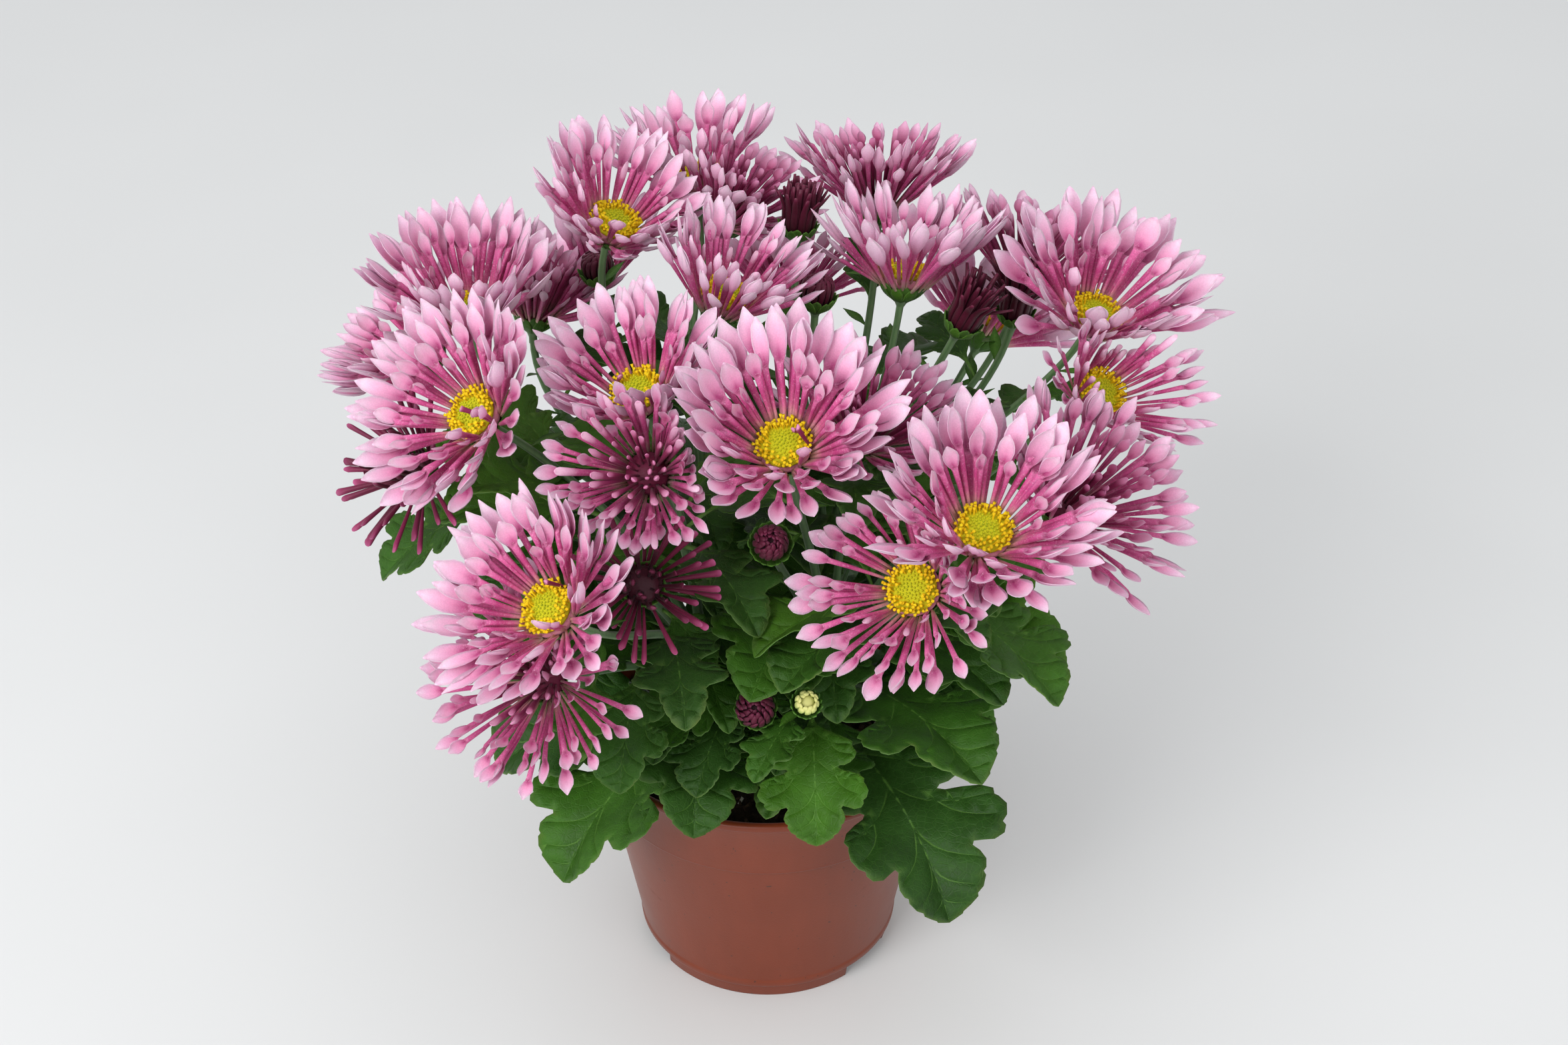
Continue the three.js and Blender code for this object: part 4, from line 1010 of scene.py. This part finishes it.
def pot():
    """The pot's profile turned round its axis, with gaps in its foot."""
    profile = rounded([
        (0.6, FOOT_HEIGHT), (12, FOOT_HEIGHT), (FOOT_RADIUS - 2.4, FOOT_HEIGHT),
        (FOOT_RADIUS - 2.4, 0), (FOOT_RADIUS, 0), (FOOT_RADIUS + 0.4, FOOT_HEIGHT - 0.6),
        (RIDGE_RADIUS, FOOT_HEIGHT - 0.2), (RIDGE_RADIUS + 0.25, FLOOR_TOP + 0.4),
        (RIDGE_RADIUS - 0.1, FLOOR_TOP + 1.4),
        (52.5, 40), (COLLAR_RADIUS - COLLAR_STEP - 0.3, COLLAR_EDGE - 1.6),
        (COLLAR_RADIUS - COLLAR_STEP, COLLAR_EDGE), (COLLAR_RADIUS + 0.2, COLLAR_EDGE + 0.5),
        (COLLAR_RADIUS + 0.3, COLLAR_EDGE + 1.7),
        (61.6, 84), (RIM_RADIUS - 1.3, POT_HEIGHT - 3.4), (RIM_RADIUS, POT_HEIGHT - 2.5),
        (RIM_RADIUS, POT_HEIGHT - 0.7), (RIM_RADIUS - 0.7, POT_HEIGHT),
        (INNER_RIM_RADIUS + 0.4, POT_HEIGHT), (INNER_RIM_RADIUS, POT_HEIGHT - 1),
        (INNER_COLLAR_RADIUS, COLLAR_EDGE + 2), (INNER_COLLAR_RADIUS - 1, COLLAR_EDGE),
        (INNER_FLOOR_RADIUS, FLOOR_TOP), (12, FLOOR_TOP), (0.6, FLOOR_TOP),
    ])
    edges = np.add.outer(FOOT_GAPS, (-FOOT_GAP_ANGLE / 2, FOOT_GAP_ANGLE / 2))
    edges = np.add.outer(edges, (-GAP_EDGE, GAP_EDGE)).ravel() % 360
    angles = np.radians(np.unique(np.round([*np.arange(0, 360, POT_STEP), *edges], 3)))

    def lift(radius, height, angle):
        away = [np.abs((np.degrees(angle) - gap + 180) % 360 - 180) for gap in FOOT_GAPS]
        in_gap = np.min(away, axis=0) < FOOT_GAP_ANGLE / 2
        low = (height < FOOT_HEIGHT - 1) & (radius > FOOT_RADIUS - 3)
        return np.where(in_gap & low, FOOT_HEIGHT - 0.9 + 0.1 * height / FOOT_HEIGHT, height)

    return revolve(profile, angles, lift)


DRAIN_SIDES = 32


def drilled(shell):
    """Cuts the drain holes through the pot's floor."""
    cutter = Mesh()
    turned = circle(DRAIN_SIDES)
    hole = DRAIN_RADIUS * np.stack([np.cos(turned), np.sin(turned)], axis=1)
    for turn in circle(DRAIN_HOLES):
        ring = hole + [DRAIN_CIRCLE * math.cos(turn), DRAIN_CIRCLE * math.sin(turn)]
        rings = [np.insert(ring, 2, z, axis=1) for z in (FOOT_HEIGHT - 2, FLOOR_TOP + 2)]
        cutter.skin(np.array(rings), PLAIN)
    tool = cutter.make("drain_cutter")
    cut = shell.modifiers.new("drains", "BOOLEAN")
    cut.operation, cut.solver, cut.object = "DIFFERENCE", "EXACT", tool
    bpy.context.view_layer.update()
    graph = bpy.context.evaluated_depsgraph_get()
    pierced = bpy.data.meshes.new_from_object(shell.evaluated_get(graph))
    shell.modifiers.clear()
    shell.data = pierced
    bpy.data.objects.remove(tool)
    return shell


SOIL_SIDES = 140
SOIL_HEIGHTS = ((0, 20, 38, 50, 59.1), (88.8, 88.6, 88, 87, 84.5))      # radii, and heights there
SOIL_RADII = np.append(np.linspace(58.6, 3, 50), 1.2)
HOLE_DEPTH, HOLE_RADIUS = 9, 3.4        # of the hole that each cutting stands in
CRUMBS, CRUMB_LIMIT = 900, 57.5
HOLE_MARGIN = 4.5           # no crumb lies nearer to the middle of a hole
CRUMB_FACES = [(0, 1, 3, 2), (4, 6, 7, 5), (0, 4, 5, 1), (2, 3, 7, 6), (0, 2, 6, 4), (1, 5, 7, 3)]
PALE_CRUMBS = 0.035         # the share of crumbs that are perlite


def soil():
    """The peat: a lumpy top with a hole round each cutting, and loose crumbs."""
    draw = random.Random(SEED + 1)
    wall = [(r - 0.8, z) for r, z in (
        (INNER_FLOOR_RADIUS + 0.3, FLOOR_TOP + 0.3), (50.6, 40),
        (INNER_COLLAR_RADIUS, COLLAR_EDGE + 1.5), (59.9, SOIL_TOP - 3.5))]
    waves = [(draw.uniform(0.25, 1.9), draw.uniform(0, PHASE), draw.uniform(0, PHASE))
             for _ in range(14)]

    def lumps(radius, z, angle):
        x, y = radius * np.cos(angle), radius * np.sin(angle)
        bump = sum(np.sin(k * (x * math.cos(turn) + y * math.sin(turn)) + phase) * 0.75 / (0.6 + k)
                   for k, turn, phase in waves)
        for cx, cy in CUTTINGS:
            bump -= HOLE_DEPTH * np.exp(-(np.hypot(x - cx, y - cy) / HOLE_RADIUS) ** 6)
        rough = np.sin(x * 5.1 + 3 * np.sin(y * 2.3)) * np.sin(y * 4.7 + 2 * np.sin(x * 3.1))
        return np.where(z > SOIL_TOP - 3.6, z + 0.55 * bump + 0.35 * rough, z)

    top = zip(SOIL_RADII, np.interp(SOIL_RADII, *SOIL_HEIGHTS))
    mesh = revolve([*wall, *top], circle(SOIL_SIDES), lumps)
    for _ in range(CRUMBS):
        radius, turn = CRUMB_LIMIT * math.sqrt(draw.random()), draw.uniform(0, 2 * math.pi)
        x, y = radius * math.cos(turn), radius * math.sin(turn)
        if min(math.hypot(x - cx, y - cy) for cx, cy in CUTTINGS) < HOLE_MARGIN:
            continue
        size = [draw.uniform(0.5, 1.7), draw.uniform(0.4, 1.1), draw.uniform(0.3, 0.9)]
        axes, _ = np.linalg.qr(np.array([draw.gauss(0, 1) for _ in range(9)]).reshape(3, 3))
        corners = np.array(list(itertools.product((-1, 1), repeat=3)), float)
        corners *= size * np.array([[draw.uniform(0.7, 1.1)] for _ in range(8)])
        points = corners @ axes + [x, y, np.interp(radius, *SOIL_HEIGHTS) + 0.5]
        pick = 1.0 if draw.random() < PALE_CRUMBS else draw.uniform(0, 0.7)
        mesh.add(points, (pick, draw.random(), 1, 0), 0, CRUMB_FACES)
    return mesh


# ---- materials ----


class Finish:
    """A material in the making: its node tree, and short ways to add what most of them share."""

    def __init__(self, name, **constants):
        self.material = bpy.data.materials.new(name)
        self.material.use_nodes = True
        self.tree = self.material.node_tree
        self.shader = self.tree.nodes["Principled BSDF"]
        for key, value in constants.items():
            self.shader.inputs[key.replace("_", " ")].default_value = value
        self.place = self.new("ShaderNodeTexCoord").outputs["Object"]
        tone = self.new("ShaderNodeAttribute", attribute_name="tone")
        split = self.new("ShaderNodeSeparateColor", {0: tone.outputs["Color"]})
        self.tone = [*split.outputs, tone.outputs["Alpha"]]

    def new(self, kind, inputs=None, **settings):
        """A node with these settings, and with its inputs, by name or number, joined or set."""
        node = self.tree.nodes.new(kind)
        for key, value in settings.items():
            setattr(node, key, value)
        for key, source in (inputs or {}).items():
            self.join(source, node.inputs[key])
        return node

    def join(self, source, target):
        """The target takes another node's output, or a constant: a number, or a colour without alpha."""
        if isinstance(source, bpy.types.NodeSocket):
            self.tree.links.new(source, target)
        else:
            target.default_value = (*source, 1) if target.type == "RGBA" else source

    def noise(self, scale, detail=4, roughness=0.6, stretch=None):
        place = self.place
        if stretch:
            place = self.new("ShaderNodeMapping", {"Scale": stretch, "Vector": place}).outputs[0]
        return self.new("ShaderNodeTexNoise", {
            "Scale": scale, "Detail": detail, "Roughness": roughness, "Vector": place}).outputs["Fac"]

    def ramp(self, source, *stops):
        """Colours, or greys given as single numbers, at places along a value."""
        node = self.new("ShaderNodeValToRGB", {0: source})
        band = node.color_ramp.elements
        while len(band) < len(stops):
            band.new(0.5)
        for element, (place, colour) in zip(band, stops):
            element.position = place
            element.color = (*(colour if isinstance(colour, tuple) else [colour] * 3), 1)
        return node.outputs[0]

    def mix(self, share, a, b, blend="MIX"):
        settings = {"data_type": "RGBA", "blend_type": blend}
        return self.new("ShaderNodeMix", {0: share, 6: a, 7: b}, **settings).outputs[2]

    def maths(self, operation, a, b):
        return self.new("ShaderNodeMath", {0: a, 1: b}, operation=operation).outputs[0]

    def cover(self, colour, over, where, share):
        """Another colour over this one, where a value is high."""
        return self.mix(self.maths("MULTIPLY", where, share), colour, over)

    def shade(self, share, colour, source, *stops):
        """The colour made darker or lighter along a value."""
        return self.mix(share, colour, self.ramp(source, *stops), "MULTIPLY")

    def done(self, colour, rough, relief, strength, distance):
        """The material, once its colour, its roughness and its relief are known."""
        bump = self.new("ShaderNodeBump", {"Strength": strength, "Distance": distance, "Height": relief})
        for name, source in (("Base Color", colour), ("Roughness", rough), ("Normal", bump.outputs[0])):
            self.join(source, self.shader.inputs[name])
        return self.material


def petal_finish():
    """Deep magenta tubes that pale to pink spoons, with painted shade in each spoon's hollow, deepest in
    the throat, and fine mottling.
    """
    made = Finish("ray_floret", Subsurface_Weight=0.3, Subsurface_Radius=(0.003, 0.0014, 0.002),
                  Subsurface_Scale=0.25, Specular_IOR_Level=0.25, Sheen_Weight=0.05)
    along, each, inner, dark = made.tone
    outside = made.ramp(
        along, (0.0, (0.9, 0.7, 0.46)), (0.07, (0.8, 0.42, 0.42)), (0.17, (0.6, 0.12, 0.27)),
        (0.34, (0.52, 0.055, 0.22)), (0.48, (0.6, 0.12, 0.3)), (0.57, (0.74, 0.34, 0.52)),
        (0.72, (0.79, 0.48, 0.65)), (0.92, (0.85, 0.64, 0.76)), (1.0, (0.78, 0.46, 0.62)))
    # The spoon's inner face: its own pink with painted shade, darkest in the throat. The inner tone
    # blends it in towards the middle of the hollow, so the rims stay pale.
    inside_with_painted_shade = made.ramp(
        along, (0.5, (0.22, 0.008, 0.07)), (0.56, (0.42, 0.05, 0.19)), (0.66, (0.74, 0.29, 0.48)),
        (0.8, (0.83, 0.47, 0.65)), (0.92, (0.86, 0.64, 0.77)), (1.0, (0.8, 0.5, 0.66)))
    colour = made.mix(inner, outside, inside_with_painted_shade)
    streaks = made.ramp(made.noise(1500, 4, 0.75), (0.54, 0.0), (0.72, 0.6))
    tube = made.ramp(along, (0.1, 0.0), (0.2, 1.0), (0.5, 1.0), (0.6, 0.0))
    colour = made.cover(colour, (0.86, 0.56, 0.7), streaks, tube)
    mottle = made.noise(2200, 3, 0.7)
    mottled = made.ramp(along, (0.5, 0.7), (0.62, 0.3))
    colour = made.shade(mottled, colour, mottle, (0.4, 0.86), (0.62, 1.2))
    colour = made.shade(0.8, colour, each, (0.0, 0.84), (1.0, 1.06))
    maroon = made.ramp(along, (0, (0.1, 0.003, 0.022)), (0.55, (0.2, 0.008, 0.06)),
                       (0.8, (0.38, 0.045, 0.16)), (1, (0.56, 0.16, 0.34)))
    colour = made.cover(colour, maroon, dark, made.ramp(along, (0.5, 1.0), (0.8, 0.85)))
    rough = made.ramp(mottle, (0.3, 0.42), (0.7, 0.6))
    return made.done(colour, rough, made.noise(3800, 3), 0.25, 0.0003)


def young_finish():
    """Unopened florets: near-black maroon with paler tips and a satin skin."""
    made = Finish("young_floret", Specular_IOR_Level=0.3, Sheen_Weight=0.04)
    along, each, _, dark = made.tone
    colour = made.ramp(
        along, (0, (0.12, 0.004, 0.028)), (0.35, (0.18, 0.009, 0.05)), (0.75, (0.28, 0.026, 0.1)),
        (0.93, (0.38, 0.06, 0.17)), (1, (0.5, 0.13, 0.28)))
    deep = made.ramp(along, (0, (0.04, 0.001, 0.008)), (0.6, (0.07, 0.003, 0.017)),
                     (0.9, (0.1, 0.005, 0.027)), (1, (0.17, 0.018, 0.065)))
    colour = made.mix(made.ramp(dark, (0.55, 0.0), (0.95, 1.0)), colour, deep)
    colour = made.shade(0.7, colour, each, (0, 0.65), (1, 1.3))
    rough = made.ramp(made.noise(2200), (0.3, 0.38), (0.7, 0.58))
    return made.done(colour, rough, made.noise(3200, 3), 0.3, 0.0003)


def disc_finish():
    """Green in the bud and golden yellow once open, with pollen on the rims."""
    made = Finish("disc_floret", Specular_IOR_Level=0.2, Subsurface_Weight=0.1,
                  Subsurface_Radius=(0.002, 0.002, 0.0005), Subsurface_Scale=0.4)
    age, each, tip, _ = made.tone
    colour = made.ramp(age, (0.12, (0.2, 0.34, 0.012)), (0.4, (0.44, 0.48, 0.012)),
                       (0.75, (0.74, 0.54, 0.008)), (1, (0.86, 0.58, 0.008)))
    pollen = made.ramp(each, (0, (0.84, 0.46, 0.006)), (1, (0.96, 0.74, 0.02)))
    rough = made.ramp(made.noise(4000), (0.3, 0.65), (0.7, 0.95))
    return made.done(made.cover(colour, pollen, tip, 0.7), rough, made.noise(6000, 3), 0.5, 0.0002)


def leaf_finish():
    """Dark green blades with paler veins and margins, greyer underneath."""
    made = Finish("leaf_blade", Specular_IOR_Level=0.17, Subsurface_Weight=0.04,
                  Subsurface_Radius=(0.001, 0.003, 0.0008), Subsurface_Scale=0.4)
    vein, age, under, rim = made.tone
    upper = made.ramp(age, (0, (0.021, 0.064, 0.009)), (0.5, (0.031, 0.096, 0.009)),
                      (0.8, (0.038, 0.116, 0.009)), (1, (0.048, 0.136, 0.009)))
    patch = made.noise(70, 5, 0.65)
    upper = made.shade(0.75, upper, patch, (0.35, 0.7), (0.7, 1.35))
    fine = made.new("ShaderNodeTexVoronoi", {"Scale": 420, "Vector": made.place},
                    feature="DISTANCE_TO_EDGE")
    net = made.ramp(fine.outputs["Distance"], (0.0, 1.0), (0.09, 0.0))
    upper = made.cover(upper, (0.08, 0.2, 0.03), net, 0.1)
    upper = made.cover(upper, (0.16, 0.33, 0.06), vein, 0.5)
    lower = made.cover((0.09, 0.2, 0.055), (0.22, 0.38, 0.12), vein, 0.7)
    edge = made.ramp(patch, (0.55, (0.2, 0.3, 0.08)), (0.75, (0.33, 0.2, 0.06)))
    colour = made.cover(made.mix(under, upper, lower), edge, made.maths("POWER", rim, 3.0), 0.8)
    rough = made.ramp(patch, (0.3, 0.42), (0.75, 0.62))
    relief = made.maths("ADD", made.maths("MULTIPLY", net, -0.5), made.noise(1500, 3))
    return made.done(colour, rough, relief, 0.35, 0.0005)


def stem_finish():
    """Grey-green ribbed shoots, browner on the old wood."""
    made = Finish("stem_bark", Specular_IOR_Level=0.3, Sheen_Weight=0.2)
    _, wood, ridge, _ = made.tone
    young = made.mix(ridge, (0.07, 0.15, 0.05), (0.14, 0.24, 0.1))
    colour = made.mix(made.ramp(wood, (0.5, 0.0), (1, 0.75)), young, (0.12, 0.1, 0.045))
    grain = made.noise(900, 4, 0.6, (1, 1, 0.2))
    colour = made.shade(0.6, colour, grain, (0.3, 0.75), (0.7, 1.25))
    return made.done(colour, made.ramp(grain, (0.3, 0.5), (0.7, 0.75)), grain, 0.4, 0.0004)


def plastic_finish():
    """Thin brown pot plastic: soft gloss, faint flow marks, scuffs and specks of soil."""
    made = Finish("pot_plastic", Specular_IOR_Level=0.36)
    cloud = made.noise(22, 5, 0.6)
    colour = made.ramp(cloud, (0.3, (0.15, 0.027, 0.009)), (0.7, (0.178, 0.034, 0.013)))
    flow = made.noise(160, 3, 0.5, (1, 1, 0.12))
    colour = made.shade(0.3, colour, flow, (0.3, 0.88), (0.7, 1.12))
    speck = made.ramp(made.noise(520, 2, 0.5), (0.715, 0.0), (0.74, 1.0))
    colour = made.cover(colour, (0.03, 0.017, 0.012), speck, 0.75)
    smear = made.ramp(made.noise(38, 6, 0.72, (1, 1, 2.6)), (0.62, 0.0), (0.8, 1.0))
    colour = made.cover(colour, (0.09, 0.04, 0.032), smear, 0.5)
    rough = made.ramp(cloud, (0.3, 0.3), (0.7, 0.4))
    rough = made.maths("ADD", rough, made.maths("MULTIPLY", smear, 0.2))
    relief = made.maths("ADD", made.noise(1400, 3), made.maths("MULTIPLY", flow, 0.8))
    return made.done(colour, rough, relief, 0.12, 0.0004)


def peat_finish():
    """Dark crumbs and fibres, with a few grey-white grains of perlite."""
    made = Finish("peat", Specular_IOR_Level=0.15)
    pick, _, chip, _ = made.tone
    crumb = made.noise(700, 6, 0.75)
    ground = made.ramp(crumb, (0.35, (0.008, 0.005, 0.004)), (0.55, (0.028, 0.017, 0.011)),
                       (0.75, (0.07, 0.043, 0.026)))
    bits = made.ramp(pick, (0, (0.014, 0.008, 0.006)), (0.69, (0.085, 0.05, 0.028)),
                     (0.9, (0.5, 0.47, 0.42)), (1, (0.6, 0.57, 0.52)))
    rough = made.ramp(crumb, (0.3, 0.85), (0.7, 1.0))
    return made.done(made.mix(chip, ground, bits), rough, crumb, 1.0, 0.0012)


def bud_finish():
    """A green bud with yellow-green florets."""
    made = Finish("green_bud", Specular_IOR_Level=0.25)
    along, each, _, _ = made.tone
    colour = made.ramp(along, (0, (0.2, 0.32, 0.07)), (0.45, (0.42, 0.5, 0.14)),
                       (0.8, (0.72, 0.7, 0.26)))
    colour = made.shade(0.5, colour, each, (0, 0.75), (1, 1.2))
    rough = made.ramp(made.noise(2500), (0.3, 0.5), (0.7, 0.75))
    return made.done(colour, rough, made.noise(3000, 3), 0.3, 0.0003)


# ---- camera, floor and light ----


CAMERA_PLACE, CAMERA_TILT = (0.0060, -0.6436, 0.6163), 55.6
FOCAL_LENGTH, SENSOR = 53.55, 36
FLOOR_HALF = 6
SKY, SKY_STRENGTH = (0.97, 0.985, 1.0, 1), 0.74
# Each lamp's place and size in metres, and its power. All of them aim at one point in the leaves.
LAMPS = {
    "key": ((-1.0, -1.3, 1.2), 1.1, 28), "fill": ((0.9, -1.2, 1.0), 1.3, 7),
    "top": ((0.0, 0.1, 2.1), 1.8, 6),
}
LAMP_AIM = Vector((0, 0, 0.17))


def studio():
    scene = bpy.context.scene
    lens = bpy.data.cameras.new("camera")
    lens.lens, lens.sensor_width = FOCAL_LENGTH, SENSOR
    lens.clip_start, lens.clip_end = 0.01, 50
    scene.camera = placed("camera", lens)
    scene.camera.location = CAMERA_PLACE
    scene.camera.rotation_euler = (math.radians(CAMERA_TILT), 0, 0)
    scene.view_settings.view_transform = "Standard"

    ground = bpy.data.meshes.new("floor")
    corners = [(x * FLOOR_HALF, y * FLOOR_HALF, 0) for x, y in ((-1, -1), (1, -1), (1, 1), (-1, 1))]
    ground.from_pydata(corners, [], [(0, 1, 2, 3)])
    paint = Finish("studio_floor", Specular_IOR_Level=0.4, Roughness=0.3)
    tint = paint.ramp(paint.noise(3, 2), (0.3, (0.66, 0.665, 0.665)), (0.7, (0.685, 0.69, 0.69)))
    paint.join(tint, paint.shader.inputs["Base Color"])
    ground.materials.append(paint.material)
    floor = placed("floor", ground)

    scene.world = bpy.data.worlds.new("studio")
    scene.world.use_nodes = True
    sky = scene.world.node_tree.nodes["Background"]
    sky.inputs["Color"].default_value = SKY
    sky.inputs["Strength"].default_value = SKY_STRENGTH
    for name, (place, size, power) in LAMPS.items():
        light = bpy.data.lights.new(name, "AREA")
        light.size, light.energy = size, power
        lamp = placed(name, light)
        lamp.location = place
        lamp.rotation_euler = (LAMP_AIM - Vector(place)).to_track_quat("-Z", "Y").to_euler()


# ---- the pieces ----


def hand_over(piece, node):
    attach(piece, "root")
    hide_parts(node)


studio()
petals, young, yellow = petal_finish(), young_finish(), disc_finish()
green, bark, green_bud = leaf_finish(), stem_finish(), bud_finish()

hand_over(drilled(pot().make("pot_shell", plastic_finish())), "pot")
hand_over(soil().make("peat_fill", peat_finish()), "soil")

for flower in flowers:
    if flower.closed:
        small = flower.kind == "small_bud"
        look, slot = (green_bud, "green_bud") if small else (young, "young_petal")
        piece = bud(flower).make(f"{flower.name}_florets", look)
    else:
        look, slot = (young, "young_petal") if flower.kind == "young" else (petals, "petal")
        piece = bloom(flower).make(f"{flower.name}_rays", look)
    hand_over(piece, flower.name)
    if flower.kind in WITH_DISC:
        name = flower.name.replace("bloom", "disc")
        hand_over(disc(flower).make(f"{name}_florets", yellow), name)

leaves = solid_leaves() + filling_leaves()
for index in range(len(CUTTINGS)):
    piece = plant(index, leaves).make(f"plant_{index + 1}_leaves", bark, green)
    hand_over(piece, f"plant_{index + 1}")
